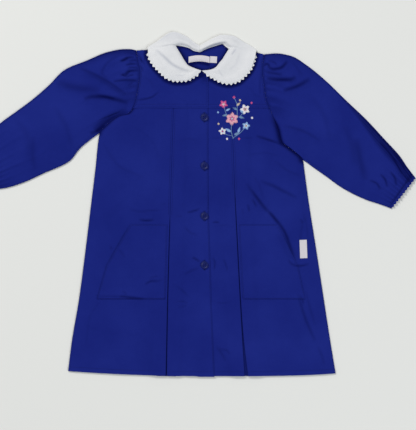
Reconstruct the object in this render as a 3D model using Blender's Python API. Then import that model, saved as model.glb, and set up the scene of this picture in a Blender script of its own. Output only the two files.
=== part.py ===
"""School smock lying flat on its back: one body of cut and sewn cloth pieces.

Tables and sizes are in millimetres. While the pieces are made, x runs from the button line
towards the wearer's left, y from the hem up to the neck and z up from the surface the smock
lies on. The finished smock is moved so that the middle of its underside is the origin.
"""
import math

import bmesh
import bpy
import numpy as np

MM = 0.001

# Cloth and seams
WALL = 1.0
GAP = 0.3
LAYER = WALL + GAP
BACK_LEVEL = WALL / 2
FRONT_LEVEL = BACK_LEVEL + LAYER
PLEAT_LAYER = 1.4
PLEAT_HALF = 19.0
PLEAT_LIP_START = 8.0
PLEAT_BED = 6.0
STACK_FLAT = 21.0
STACK_MIDDLE = 30.0
STACK_END = 38.0
STACK_TOP_FADE = 40.0

# Where the upper layer leaves the lapped edge, and where loose folds begin beside pleat and edge
LAP_FADE = (30.0, 44.0)
PLEAT_CLEAR = (25.0, 50.0)
EDGE_CLEAR = (3.0, 25.0)

# Where the panels rise over the collar's back fall: across on the right and the left, and upwards
LIFT_RIGHT = (-133.0, -119.0)
LIFT_LEFT = (107.0, 119.0)
LIFT_UP = (575.0, 602.0)

# Heights above the hem
YOKE_SEAM = 534.7
POCKET_BOTTOM = 154.0
POCKET_MOUTH_LOW = 221.0
POCKET_TOP = 303.0
HEM_FADE = 150.0

# How far the hem rises at the side seam, and the power of its curve
HEM_CURVES = {"right": (10.0, 2), "left": (5.5, 4)}

# Pockets: row heights, reach of the free edge at the bottom, the mouth's foot and the top,
# distance from the pleat, and how far the left mouth stands open at its middle
POCKET_LEVELS = (POCKET_TOP, 262.0, POCKET_MOUTH_LOW, 187.0, POCKET_BOTTOM)
POCKET_REACH = {"right": (214.0, 194.0, 147.0), "left": (202.0, 187.0, 146.0)}
POCKET_TO_PLEAT = 5.0
POCKET_GAPE_LEVEL = POCKET_LEVELS[1]
POCKET_GAPE = (1.6, 0.8)

# Buttons on the front edge
BUTTON_HEIGHTS = (517.0, 420.0, 320.0, 222.0)
BUTTON_OUT = 1.0
BUTTON_RADIUS = 7.7
BUTTON_THICK = 2.5
BUTTON_SEGMENTS = 16
BUTTON_HOLE_RADIUS = 0.9
BUTTON_HOLE_SPREAD = 1.9
BUTTON_HOLE_SEGMENTS = 6

# Profile from the underside round the rim to the dished face: shares of radius and thickness
BUTTON_PROFILE = [(0.8, 0.0), (1.0, 0.36), (1.0, 0.64), (0.9, 1.0), (0.72, 1.0), (0.6, 0.76)]

# Collar
COLLAR_FOLD = 1.95
COLLAR_ACROSS = (0.0, 0.08, 0.2, 0.35, 0.55, 0.8, 1.0)
COLLAR_CREST_AT = 0.2
COLLAR_CREST_LOSS = 0.7
COLLAR_EASE = 0.25
COLLAR_OVER_LAP = (4.0, 32.0)
COLLAR_OVER_TRIM = (18.0, 10.0)
COLLAR_FIRST_BACK_ROW = 9
COLLAR_BACK_SLOPE = 0.5
COLLAR_BACK_CREST = (0.0, 0.3, 0.4, 1.0)
TRIM_TEETH = 16
TRIM_ENDS = (0.03, 0.97)
TRIM_STEP = 0.01
TRIM_INSIDE = 3.0
TRIM_VALLEY = 0.6
TRIM_PEAK = 3.6

# Angles of the rows round a folded edge
FOLD_ANGLES = (45, 90, 135)

# Sleeves
SLEEVE_ROWS = (0.0, 0.03, 0.08, 0.15, 0.25, 0.36, 0.48, 0.6, 0.72, 0.83, 0.91, 0.96, 1.0)
SLEEVE_FOLD = LAYER / 2
SLEEVE_SPACING = 5.4
SLEEVE_ROUNDING = 0.6
SLEEVE_TALLEST = 3.6
UNDERARM_BULGE = 9.0
UNDERARM_AT = 0.72
UNDERARM_WIDTH = 0.17
UNDERARM_ALONG = (0.0, 0.06, 0.2, 0.7)
HEAD_GATHERS = 6
HEAD_GATHER_RISE = 1.1
HEAD_GATHER_ALONG = (0.0, 0.08, 0.12, 0.36)
HEAD_GATHER_ACROSS = (0.48, 0.58)
CUFF_GATHERS = 8
CUFF_GATHER_RISE = 1.5
CUFF_GATHER_ALONG = (0.8, 0.96)
SLEEVE_FOLD_SHARE = 0.9
SLEEVE_FOLD_ALONG = (0.0, 0.1)
SLEEVE_FOLD_ACROSS = (0.0, 0.08, 0.92, 1.0)

# Extra rows of the yoke, where it rises over the collar's hidden fall
YOKE_STEPS = (581.0, 592.0)

# Levels of the rows across each skirt panel, below the armhole
SKIRT_LEVELS = (450, 412, 380, 352, 326, 303, 262, 221, 187, 154, 115, 75, 35, 0)

# Columns of a skirt panel between pleat and lap, and of the back along each shoulder
CENTRE_COLUMNS = {"right": (22.0, 4.0), "left": (24.0, -2.0)}
BACK_COLUMNS = {"right": (135.0, 119.0, 96.0, 62.0), "left": (56.0, 84.0, 106.0, 120.0)}

# Labels: middle (x, y), size, turn in radians, how far the middle bows up the panel
LABELS = {
    "neck_label": ((-9.8, 632.0), (42.0, 12.0), 0.0, 3.0),
    "size_label": ((20.0, 632.5), (11.5, 13.0), -0.06, 0.0),
    "side_label": ((198.6, 254.0), (14.4, 36.6), 0.035, 0.0),
}
LABEL_COLUMNS = 7

# Finishes: red, green, blue and roughness
CLOTH = (0.014, 0.021, 0.19, 0.8)
COLLAR_WHITE = (0.78, 0.80, 0.83, 0.7)
LABEL_WHITE = (0.72, 0.71, 0.72, 0.6)
BUTTON_BLUE = (0.01, 0.02, 0.16, 0.25)
SMOOTH_ANGLE = 40

# Each side of the body, as (height above the hem, distance out from the button line).
# The last nine rows are the armhole, from the underarm to the shoulder.
SIDES = {
    "right": [
        (0, 271.6), (62, 264.4), (152, 250.0), (250, 237.0), (352, 224.6), (412, 217.2),
        (486, 208.4), (500, 196.4), (519, 172.0), (524, 152.0), (539, 140.6),
        (568, 133.0), (608, 128.0), (628, 132.0), (651, 135.0),
    ],
    "left": [
        (0, 263.0), (62, 253.2), (152, 239.6), (250, 224.6), (352, 208.6), (412, 200.4),
        (432, 197.6), (452, 176.0), (466, 158.0), (494, 150.4), (524, 135.4),
        (560, 122.8), (582, 120.4), (607, 117.0), (643, 120.0),
    ],
}
ARMHOLE_ROWS = 9

# Box pleat line: height, distance out, half of the gap between its lips
PLEATS = {
    "right": [(0, 75.4, 0.8), (148, 72.6, 0.5), (304, 68.4, 0.3), (536, 61.0, 0.3)],
    "left": [(0, 84.6, 3.0), (72, 78.0, 1.2), (148, 73.0, 0.5), (280, 66.0, 0.3), (536, 55.0, 0.3)],
}

# Front edge, where the right front laps over the left one: height, distance past the button line
LAPS = {
    "right": [(0, 21.0), (92, 17.2), (236, 12.2), (352, 8.8), (603, 8.0)],
    "left": [(0, 20.0), (604, 24.0)],
}

# Neck edge of each front: height, distance out
NECKS = {
    "right": [(603, -8.0), (607, 4.4), (613, 18.0), (618, 31.0), (642, 47.0), (658, 57.0), (664, 62.0)],
    "left": [(604, -24.0), (609, 10.6), (614, 24.5), (636, 41.0), (652, 50.5), (660, 56.0)],
}

# Shoulder seam: distance out, height
SHOULDERS = {
    "right": [(62.0, 664.0), (114.0, 652.0), (135.0, 651.0)],
    "left": [(56.0, 660.0), (106.0, 646.2), (120.0, 643.0)],
}

# Neck edge of the back: distance to the wearer's left, height
BACK_NECK = [
    (-57.2, 660.4), (-49.0, 659.5), (-40.6, 658.4), (-29.0, 655.2), (-20.4, 649.8), (-9.2, 647.3),
    (-7.4, 647.5), (10.6, 655.8), (24.0, 660.0), (37.2, 663.8), (43.3, 658.4), (49.4, 653.0),
]

# Collar half, a row for each line from the neck seam to the outer edge, from the front tip to
# the middle of the back: neck (out, height), edge (out, height), roll height, and for the rows
# that fold over behind the garment the end (out, height) of the hidden fall
COLLARS = {
    "right": [
        ((5.6, 610.0), (7.6, 606.6), 0.6, None),
        ((14.0, 612.8), (18.8, 599.4), 2.0, None),
        ((23.0, 616.4), (36.0, 591.2), 3.4, None),
        ((31.0, 620.0), (55.0, 590.4), 4.6, None),
        ((38.4, 629.0), (71.6, 594.6), 5.0, None),
        ((45.0, 640.0), (87.6, 608.2), 5.0, None),
        ((51.0, 650.0), (101.8, 624.0), 5.0, None),
        ((54.8, 656.0), (110.6, 641.0), 4.8, None),
        ((57.2, 661.4), (112.0, 652.6), 4.6, (108.5, 645.0)),
        ((49.0, 660.3), (92.0, 668.0), 4.6, (97.0, 634.0)),
        ((40.6, 659.0), (62.0, 686.0), 3.4, (74.0, 617.0)),
        ((29.0, 655.5), (34.0, 676.0), 2.4, (42.0, 612.0)),
        ((20.4, 650.1), (21.0, 665.6), 1.8, (26.0, 612.0)),
        ((9.2, 647.6), (9.6, 658.0), 1.2, (10.2, 612.0)),
    ],
    "left": [
        ((-3.6, 609.6), (0.4, 606.0), 0.6, None),
        ((10.6, 611.4), (19.2, 595.8), 2.0, None),
        ((19.0, 614.0), (32.8, 588.6), 3.4, None),
        ((25.0, 618.0), (49.6, 585.2), 4.6, None),
        ((31.0, 626.0), (66.4, 588.8), 5.0, None),
        ((37.0, 633.0), (79.8, 598.6), 5.0, None),
        ((42.0, 641.0), (92.6, 613.4), 5.0, None),
        ((46.4, 648.0), (99.6, 630.6), 4.8, None),
        ((49.4, 653.4), (103.6, 648.0), 4.6, (100.0, 640.5)),
        ((43.3, 658.7), (78.8, 666.0), 4.6, (84.0, 624.0)),
        ((37.2, 664.1), (57.8, 678.0), 3.4, (64.0, 614.0)),
        ((24.0, 660.3), (36.0, 680.0), 2.6, (36.0, 612.0)),
        ((10.6, 656.1), (20.0, 674.0), 2.0, (16.0, 612.0)),
        ((-7.4, 647.8), (-7.2, 659.0), 1.2, (-7.0, 612.0)),
    ],
}

# Sleeve outline past the armhole: upper fold and underarm seam (out, height) to the cuff's corners
SLEEVE_TOPS = {
    "right": [
        (148.0, 653.6), (158.6, 653.6), (191.0, 648.2), (234.4, 630.8), (278.0, 612.4), (310.4, 581.0),
        (343.0, 552.8), (375.4, 528.8), (408.0, 505.0), (440.0, 475.0), (462.0, 448.0),
    ],
    "left": [
        (144.8, 645.0), (173.8, 640.4), (205.4, 622.4), (241.6, 595.6), (290.2, 550.8), (326.6, 516.8),
        (363.0, 478.0), (396.2, 441.4), (407.4, 422.8), (423.0, 396.0),
    ],
}
SLEEVE_SEAMS = {
    "right": [
        (247.4, 455.0), (269.2, 429.0), (321.2, 405.0), (364.6, 385.6), (397.2, 376.0), (418.0, 373.0),
    ],
    "left": [
        (217.4, 417.4), (241.6, 400.4), (278.0, 375.0), (325.4, 352.0), (348.6, 344.4), (374.8, 335.0),
    ],
}
# How high the sleeve's upper layer stands along its length: share of the length, height
SLEEVE_LOFT = [(0.0, 0.0), (0.03, 0.5), (0.08, 2.2), (0.15, 3.2), (0.5, 2.6), (0.9, 1.6), (1.0, 0.6)]

# Largest folds that stand up from the lying cloth: start (x, y), end (x, y), height, half width
FOLDS = [
    ((105, 479), (152, 466), 3.0, 12),
    ((112, 388), (176, 354), 3.0, 13),
    ((92, 376), (134, 330), 3.2, 13),
    ((206, 124), (222, 70), 2.6, 12),
    ((-132, 553), (-92, 567), 2.4, 12),
    ((-168, 500), (-182, 440), 2.0, 14),
    ((-196, 120), (-214, 60), 2.0, 14),
    ((-222, 606), (-160, 566), 1.4, 11),
    ((-300, 560), (-214, 540), 1.2, 12),
    ((140, 617), (166, 624), 1.6, 10),
    ((146, 590), (206, 612), 1.4, 12),
    ((300, 500), (312, 400), 1.2, 13),
]

SIGN = {"right": -1.0, "left": 1.0}


def smooth(value, start, end):
    """Ease from 0 at start to 1 at end."""
    share = min(max((value - start) / (end - start), 0.0), 1.0)
    return share * share * (3 - 2 * share)


def up_and_down(value, stops):
    """Ease from 0 to 1 between the first two stops and back to 0 between the last two."""
    return smooth(value, stops[0], stops[1]) * (1 - smooth(value, stops[2], stops[3]))


def read(table, height, column=1):
    """Read one column of a table at a height, with straight lines between its rows."""
    return float(np.interp(height, [row[0] for row in table], [row[column] for row in table]))


def mix(first, second, share):
    return first + (second - first) * share


def fold_rise(x, y):
    """Height that the large folds add at a point."""
    rise = 0.0
    for (x0, y0), (x1, y1), height, half in FOLDS:
        run = (x1 - x0) ** 2 + (y1 - y0) ** 2
        along = min(max(((x - x0) * (x1 - x0) + (y - y0) * (y1 - y0)) / run, 0.0), 1.0)
        away = math.hypot(x - mix(x0, x1, along), y - mix(y0, y1, along))
        rise = max(rise, height * math.exp(-((away / half) ** 2)))
    return rise


def collar_lift(x, y):
    """Rise of the panels over the collar's back fall, which lies under them."""
    return LAYER * smooth(y, *LIFT_UP) * up_and_down(x, (*LIFT_RIGHT, *LIFT_LEFT))


def pleat_stack(side, out, y):
    """Height that the folded layers of the box pleat add under the front's upper layer."""
    from_line = abs(out - read(PLEATS[side], y))
    over_yoke = 1 - smooth(y, YOKE_SEAM, YOKE_SEAM + STACK_TOP_FADE)
    return 2 * PLEAT_LAYER * (1 - smooth(from_line, STACK_FLAT, STACK_END)) * over_yoke


def front_level(side, out, y):
    """Middle of the front's upper layer at a point."""
    x = SIGN[side] * out
    lap = LAYER * (1 - smooth(out, *LAP_FADE)) if side == "right" else 0.0
    raised = max(lap, pleat_stack(side, out, y))
    loose = smooth(abs(out - read(PLEATS[side], y)), *PLEAT_CLEAR)
    loose *= smooth(read(SIDES[side], y) - out, *EDGE_CLEAR)
    return FRONT_LEVEL + collar_lift(x, y) + raised + fold_rise(x, y) * loose


def hem_rise(side, out):
    """The hem curves up towards the side seams."""
    rise, power = HEM_CURVES[side]
    return rise * (out / SIDES[side][0][1]) ** power


def lowered(side, out, level):
    """Height of a point on a skirt row, with the hem's curve fading out above it."""
    return level + hem_rise(side, out) * max(0.0, 1 - level / HEM_FADE)


def turn(centre_out, centre_z, radius, start, stop, steps=3):
    """Points of a fold's round edge, as (out, height) pairs."""
    angles = np.radians(np.linspace(start, stop, steps + 1))
    return [(centre_out + radius * math.cos(a), centre_z + radius * math.sin(a)) for a in angles]


def pleat_section(half_gap):
    """Inverted box pleat as (out from the pleat line, height over the lowest layer) pairs."""
    radius = PLEAT_LAYER / 2
    lip = half_gap + WALL / 2 + radius
    back = PLEAT_HALF - radius
    section = [(PLEAT_LIP_START, 2 * PLEAT_LAYER)]
    section += turn(lip, 3 * radius, radius, 90, 270)
    section += turn(back, radius, radius, 90, -90)
    section += [(PLEAT_BED, 0.0), (-PLEAT_BED, 0.0)]
    section += turn(-back, radius, radius, 270, 90)
    section += turn(-lip, 3 * radius, radius, -90, 90)
    section += [(-PLEAT_LIP_START, 2 * PLEAT_LAYER)]
    return section


def material(name, finish):
    *colour, roughness = finish
    surface = bpy.data.materials.new(name)
    surface.use_nodes = True
    shader = surface.node_tree.nodes["Principled BSDF"]
    shader.inputs["Base Color"].default_value = (*colour, 1.0)
    shader.inputs["Roughness"].default_value = roughness
    shader.inputs["Metallic"].default_value = 0.0
    return surface


def add_object(name, points, faces, finish):
    """One sub-part from points in millimetres, with its own material."""
    mesh = bpy.data.meshes.new(name)
    mesh.from_pydata([tuple(MM * value for value in point) for point in points], [], faces)
    mesh.materials.append(material(name, finish))
    mesh.shade_smooth()
    mesh.set_sharp_from_angle(angle=math.radians(SMOOTH_ANGLE))
    piece = bpy.data.objects.new(name, mesh)
    bpy.context.scene.collection.objects.link(piece)
    return piece


def cloth(name, rows, finish=CLOTH):
    """Closed wall of even thickness about a sheet given as rows of points.

    Neighbouring rows are joined point by point, as far as the shorter of the two goes.
    """
    points = np.array([point for row in rows for point in row], dtype=float)
    starts = np.cumsum([0] + [len(row) for row in rows])
    quads = []
    for index, (row, following) in enumerate(zip(rows, rows[1:])):
        here, there = starts[index], starts[index + 1]
        for column in range(min(len(row), len(following)) - 1):
            quads.append((here + column, here + column + 1, there + column + 1, there + column))
    normals = np.zeros_like(points)
    for quad in quads:
        a, b, c, d = points[list(quad)]
        normals[list(quad)] += np.cross(c - a, d - b)
    normals /= np.linalg.norm(normals, axis=1)[:, None]
    upper = points + normals * WALL / 2
    lower = points - normals * WALL / 2
    count = len(points)
    edges = {(quad[i], quad[(i + 1) % 4]) for quad in quads for i in range(4)}
    faces = [tuple(quad) for quad in quads]
    faces += [tuple(count + corner for corner in reversed(quad)) for quad in quads]
    faces += [(b, a, count + a, count + b) for a, b in sorted(edges) if (b, a) not in edges]
    return add_object(name, np.vstack([upper, lower]).tolist(), faces, finish)


def skirt_levels(side):
    """Row heights of a skirt panel: the armhole's rows under the yoke, then even steps."""
    armhole = [row[0] for row in SIDES[side][-ARMHOLE_ROWS:] if row[0] < YOKE_SEAM - 5]
    top = [YOKE_SEAM - GAP / 2] + sorted(armhole, reverse=True)
    return top + [level for level in SKIRT_LEVELS if level < min(armhole) - 12]


def skirt_row(side, level):
    """Points across a front skirt panel, from the side seam through the pleat to the lap."""
    edge = read(SIDES[side], level)
    pleat = read(PLEATS[side], level)
    lap = -read(LAPS[side], level)
    outer = [mix(edge, pleat + STACK_END, share) for share in np.linspace(0, 1, 7)]
    outer += [pleat + STACK_MIDDLE, pleat + STACK_FLAT]
    beside, near_lap = CENTRE_COLUMNS[side]
    inner = [pleat - STACK_FLAT, pleat - STACK_MIDDLE, min(beside, pleat - STACK_END), near_lap, lap]
    sign = SIGN[side]

    def flat(out):
        y = lowered(side, out, level)
        return (sign * out, y, front_level(side, out, level))

    row = [flat(out) for out in outer]
    for offset, rise in pleat_section(read(PLEATS[side], level, 2)):
        out = pleat + offset
        y = lowered(side, out, level)
        base = FRONT_LEVEL + collar_lift(sign * out, y)
        row.append((sign * out, y, base + rise))
    return row + [flat(out) for out in inner]


def build_skirt(side):
    rows = [skirt_row(side, level) for level in skirt_levels(side)]
    return cloth(f"front_{side}", rows)


def centre_edge(side, level):
    """Distance out of a front's centre edge: the lap, and above it the neck edge."""
    if level <= NECKS[side][0][0]:
        return -read(LAPS[side], level)
    return read(NECKS[side], level)


def build_yoke(side):
    """Upper front, from the yoke seam to the shoulder seam."""
    armhole = [row[0] for row in SIDES[side] if row[0] > YOKE_SEAM]
    neck = [row[0] for row in NECKS[side]]
    shoulder, neck_top = armhole[-1], neck[-1]
    low = sorted(armhole[:-1] + neck[:-2] + list(YOKE_STEPS))
    levels = [(YOKE_SEAM + GAP / 2,) * 2] + [(level, level) for level in low]
    levels += [(mix(low[-1], shoulder, 0.5), neck[-2]), (shoulder, neck_top)]
    stops = np.concatenate([np.linspace(0, 0.5, 5)[:-1], np.linspace(0.5, 1, 6)])
    rows = []
    for level, inner_level in levels:
        start = read(SIDES[side], level)
        end = centre_edge(side, inner_level)
        row = []
        for share in stops:
            out = mix(start, end, share)
            y = mix(level, inner_level, share)
            if level == shoulder:
                y = float(np.interp(out, *zip(*SHOULDERS[side])))
            row.append((SIGN[side] * out, y, front_level(side, out, y)))
        rows.append(row)
    return cloth(f"yoke_{side}", rows)


def build_back():
    """Back, cut in one piece, flat on the surface and raised over the collar's hidden fall."""
    top = {}
    for side, columns in BACK_COLUMNS.items():
        top[side] = [(SIGN[side] * out, float(np.interp(out, *zip(*SHOULDERS[side])))) for out in columns]
    top = top["right"] + BACK_NECK + top["left"]
    start, end = top[0][0], top[-1][0]
    shares = [(x - start) / (end - start) for x, _ in top]
    armholes = sorted({row[0] for side in SIDES for row in SIDES[side][-ARMHOLE_ROWS:-1]})
    lower = sorted({row[0] for side in SIDES for row in SIDES[side][:-ARMHOLE_ROWS]})
    rows = []
    for level in lower + armholes:
        left_edge = -read(SIDES["right"], level)
        right_edge = read(SIDES["left"], level)
        row = []
        for share in shares:
            x = mix(left_edge, right_edge, share)
            side = "right" if x < 0 else "left"
            y = lowered(side, abs(x), level)
            row.append((x, y, BACK_LEVEL + collar_lift(x, y)))
        rows.append(row)
    rows.append([(x, y, BACK_LEVEL + collar_lift(x, y)) for x, y in top])
    return cloth("back", [row[::-1] for row in rows])


def resample(points, shares):
    """Points at shares of the length of a line through given points."""
    line = np.array(points, dtype=float)
    length = np.concatenate([[0.0], np.cumsum(np.linalg.norm(np.diff(line, axis=0), axis=1))])
    length /= length[-1]
    return np.stack([np.interp(shares, length, line[:, axis]) for axis in range(2)], axis=1)


def armhole_line(side):
    """Sleeve's edge at the armhole, just clear of the body, from the shoulder to the underarm."""
    rows = SIDES[side][-ARMHOLE_ROWS:][::-1]
    return [(out + GAP, height + 0.2) for height, out in rows]


def build_sleeve(side):
    """Set-in sleeve with gathers at its head and cuff, folded along its top and seamed below."""
    mouth = armhole_line(side)
    spans = np.linalg.norm(np.diff(np.array(mouth), axis=0), axis=1)
    corners = np.concatenate([[0.0], np.cumsum(spans)]) / spans.sum()
    fine = [0.0]
    for start, end, span in zip(corners, corners[1:], spans):
        steps = max(2, round(span / SLEEVE_SPACING))
        fine += list(np.linspace(start, end, steps + 1)[1:])
    top_line = [mouth[0]] + SLEEVE_TOPS[side]
    seam_line = [mouth[-1]] + SLEEVE_SEAMS[side]
    cuff_line = [top_line[-1], seam_line[-1]]
    rows = []
    for along in SLEEVE_ROWS:
        top_end = resample(top_line, [along])[0]
        seam_end = resample(seam_line, [along])[0]
        inward = (seam_end - top_end) / np.linalg.norm(seam_end - top_end)

        def plan(across):
            mouth_point = resample(mouth, [across])[0]
            cuff_point = resample(cuff_line, [across])[0]
            ruled = mix(top_end, seam_end, across) + mix(mouth_point, cuff_point, along)
            start = mix(np.array(mouth[0]), np.array(mouth[-1]), across)
            end = mix(np.array(cuff_line[0]), np.array(cuff_line[1]), across)
            bulge = UNDERARM_BULGE * math.exp(-(((across - UNDERARM_AT) / UNDERARM_WIDTH) ** 2))
            bulge *= up_and_down(along, UNDERARM_ALONG)
            return ruled - mix(start, end, along) + np.array((0.0, bulge))

        def upper(across):
            point = plan(across)
            loft = read(SLEEVE_LOFT, along) * math.sin(math.pi * across) ** SLEEVE_ROUNDING
            head = HEAD_GATHER_RISE * up_and_down(along, HEAD_GATHER_ALONG)
            head *= 1 - smooth(across, *HEAD_GATHER_ACROSS)
            gathers = head * math.sin(math.pi * HEAD_GATHERS * across / HEAD_GATHER_ACROSS[1]) ** 2
            cuff = CUFF_GATHER_RISE * smooth(along, *CUFF_GATHER_ALONG)
            gathers += cuff * math.sin(math.pi * CUFF_GATHERS * across) ** 2
            fold = SLEEVE_FOLD_SHARE * fold_rise(SIGN[side] * point[0], point[1])
            fold *= smooth(along, *SLEEVE_FOLD_ALONG) * up_and_down(across, SLEEVE_FOLD_ACROSS)
            return (*point, FRONT_LEVEL + loft + gathers + min(fold, SLEEVE_TALLEST - loft))

        edge = plan(0.0) + inward * (SLEEVE_FOLD + WALL / 2)
        row = [(*plan(across), BACK_LEVEL) for across in corners[:0:-1]]
        row.append((*edge, BACK_LEVEL))
        for angle in FOLD_ANGLES:
            shift = SLEEVE_FOLD * math.sin(math.radians(angle))
            height = BACK_LEVEL + SLEEVE_FOLD * (1 - math.cos(math.radians(angle)))
            row.append((*(edge - inward * shift), height))
        row.append((*edge, FRONT_LEVEL))
        row += [upper(across) for across in fine[1:]]
        rows.append([(SIGN[side] * out, y, z) for out, y, z in row])
    return cloth(f"sleeve_{side}", rows)


def under_collar(side, out, y):
    """Middle of the uppermost front layer under the collar, which also covers the lapped edge."""
    if side == "right":
        return front_level("right", out, y) + COLLAR_EASE
    lapped = FRONT_LEVEL + LAYER * (1 - smooth(out, *COLLAR_OVER_LAP)) + collar_lift(out, y)
    return max(lapped, front_level("left", out, y)) + COLLAR_EASE


def build_collar(side):
    """Half of a Peter Pan collar: it lies on the yoke, and rolls over behind the shoulders."""
    rows = []
    for index, (neck, edge, crest, behind) in enumerate(COLLARS[side]):
        neck, edge = np.array(neck), np.array(edge)
        width = np.linalg.norm(edge - neck)
        row = []
        for share in COLLAR_ACROSS:
            out, y = mix(neck, edge, share)
            roll = share / COLLAR_CREST_AT
            rise = crest * roll * math.exp(1 - roll) * (1 - COLLAR_CREST_LOSS * share)
            if behind is None:
                over_trim = smooth(width * (1 - share), *COLLAR_OVER_TRIM)
                base = under_collar(side, out, y) + LAYER * (1 + over_trim)
            else:
                slope = smooth(share, 0.0, COLLAR_BACK_SLOPE)
                start = under_collar(side, *neck) + LAYER
                if index >= COLLAR_FIRST_BACK_ROW:
                    start = BACK_LEVEL + LAYER
                    rise = crest * up_and_down(share, COLLAR_BACK_CREST)
                base = mix(start, BACK_LEVEL + 2 * COLLAR_FOLD, slope)
            row.append((out, y, base + rise))
        if behind is not None:
            end = np.array(behind)
            inward = (end - edge) / np.linalg.norm(end - edge)
            top_height = row[-1][2]
            radius = (top_height - BACK_LEVEL) / 2
            for angle in FOLD_ANGLES:
                out, y = edge - inward * radius * math.sin(math.radians(angle))
                row.append((out, y, BACK_LEVEL + radius * (1 + math.cos(math.radians(angle)))))
            for share in (0.0, 0.5, 1.0):
                row.append((*mix(edge, end, share), BACK_LEVEL))
        rows.append([(SIGN[side] * out, y, z) for out, y, z in row])
    return cloth(f"collar_{side}", rows, COLLAR_WHITE)


def build_trim(side):
    """Zigzag braid that peeks out from under the collar's outer edge."""
    edge_line = [row[1] for row in COLLARS[side] if row[3] is None]
    stops = np.linspace(*TRIM_ENDS, 2 * TRIM_TEETH + 1)
    middle = resample(edge_line, stops)
    ahead = resample(edge_line, stops + TRIM_STEP) - resample(edge_line, stops - TRIM_STEP)
    inner, outer = [], []
    for index, (point, step) in enumerate(zip(middle, ahead)):
        outward = np.array([step[1], -step[0]]) / np.linalg.norm(step)
        reach = TRIM_PEAK if index % 2 else TRIM_VALLEY
        for line, shift in ((inner, -TRIM_INSIDE), (outer, reach)):
            out, y = point + outward * shift
            line.append((SIGN[side] * out, y, under_collar(side, out, y) + LAYER))
    return cloth(f"collar_trim_{side}", [inner, outer], COLLAR_WHITE)


def pocket_outer(side, level):
    """Distance out of the pocket's free edge: upright below, slanted along the mouth."""
    heights = (POCKET_BOTTOM, POCKET_MOUTH_LOW, POCKET_TOP)
    return float(np.interp(level, heights, POCKET_REACH[side]))


def build_pocket(side):
    """Patch pocket with a slanted mouth, lying on the skirt beside the pleat."""
    rows = []
    for level in POCKET_LEVELS:
        pleat = read(PLEATS[side], level)
        edge = pocket_outer(side, level)
        outs = [mix(edge, pleat + STACK_END, share) for share in np.linspace(0, 1, 5)]
        outs += [pleat + STACK_MIDDLE, pleat + STACK_FLAT, pleat + POCKET_TO_PLEAT]
        heights = [front_level(side, out, level) + LAYER for out in outs]
        if side == "left" and level == POCKET_GAPE_LEVEL:
            for index, gape in enumerate(POCKET_GAPE):
                heights[index] += gape
        rows.append([(SIGN[side] * out, level, height) for out, height in zip(outs, heights)])
    return cloth(f"pocket_{side}", rows)


def build_label(name, base):
    """Blank woven label lying on a panel."""
    middle, size, tilt, arch = LABELS[name]
    rows = []
    for up in (-0.5, 0.5):
        row = []
        for across in np.linspace(-0.5, 0.5, LABEL_COLUMNS):
            x = across * size[0]
            y = up * size[1] + arch * (1 - 4 * across * across)
            turned = (x * math.cos(tilt) - y * math.sin(tilt), x * math.sin(tilt) + y * math.cos(tilt))
            row.append((middle[0] + turned[0], middle[1] + turned[1], base + LAYER))
        rows.append(row)
    return cloth(name, rows[::-1], LABEL_WHITE)


def build_button(name, height):
    """Four-hole button with a rounded rim and a dished face."""
    segments = BUTTON_SEGMENTS
    rim = [(BUTTON_RADIUS * across, BUTTON_THICK * up) for across, up in BUTTON_PROFILE]
    points = [(0.0, 0.0, 0.0)]
    for radius, z in rim:
        for step in range(segments):
            angle = 2 * math.pi * step / segments
            points.append((radius * math.cos(angle), radius * math.sin(angle), z))
    points.append((0.0, 0.0, rim[-1][1]))
    last = len(points) - 1
    faces = []
    for step in range(segments):
        after = (step + 1) % segments
        faces.append((0, 1 + after, 1 + step))
        for ring in range(len(rim) - 1):
            low = 1 + ring * segments
            high = low + segments
            faces.append((low + step, low + after, high + after, high + step))
        top = 1 + (len(rim) - 1) * segments
        faces.append((top + step, top + after, last))
    button = add_object(name, points, faces, BUTTON_BLUE)
    base = front_level("right", -BUTTON_OUT, height) + WALL / 2 + GAP
    button.location = (BUTTON_OUT * MM, height * MM, base * MM)
    cutter = button_holes(f"{name}_holes")
    cutter.location = button.location
    holes = button.modifiers.new("holes", "BOOLEAN")
    holes.operation = "DIFFERENCE"
    holes.solver = "EXACT"
    holes.object = cutter
    return [button, cutter]


def button_holes(name):
    """Four thin pegs that cut the thread holes."""
    shape = bmesh.new()
    for x in (-1, 1):
        for y in (-1, 1):
            made = bmesh.ops.create_cone(
                shape, cap_ends=True, segments=BUTTON_HOLE_SEGMENTS, radius1=BUTTON_HOLE_RADIUS * MM,
                radius2=BUTTON_HOLE_RADIUS * MM, depth=4 * BUTTON_THICK * MM,
            )
            shift = (x * BUTTON_HOLE_SPREAD * MM, y * BUTTON_HOLE_SPREAD * MM, 0.0)
            bmesh.ops.translate(shape, verts=made["verts"], vec=shift)
    mesh = bpy.data.meshes.new(name)
    shape.to_mesh(mesh)
    shape.free()
    cutter = bpy.data.objects.new(name, mesh)
    bpy.context.scene.collection.objects.link(cutter)
    cutter.hide_render = True
    cutter.display_type = "WIRE"
    return cutter


def clear_scene():
    for piece in list(bpy.data.objects):
        bpy.data.objects.remove(piece, do_unlink=True)


def centre_on_underside(pieces):
    """Parent all pieces to one empty, placed so that the box's bottom centre is the origin."""
    corners = []
    for piece in pieces:
        if piece.type == "MESH" and not piece.hide_render:
            corners += [vertex.co + piece.location for vertex in piece.data.vertices]
    spread = np.array([tuple(corner) for corner in corners])
    low, high = spread.min(axis=0), spread.max(axis=0)
    smock = bpy.data.objects.new("smock", None)
    bpy.context.scene.collection.objects.link(smock)
    smock.location = (-(low[0] + high[0]) / 2, -(low[1] + high[1]) / 2, -low[2])
    for piece in pieces:
        piece.parent = smock


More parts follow.
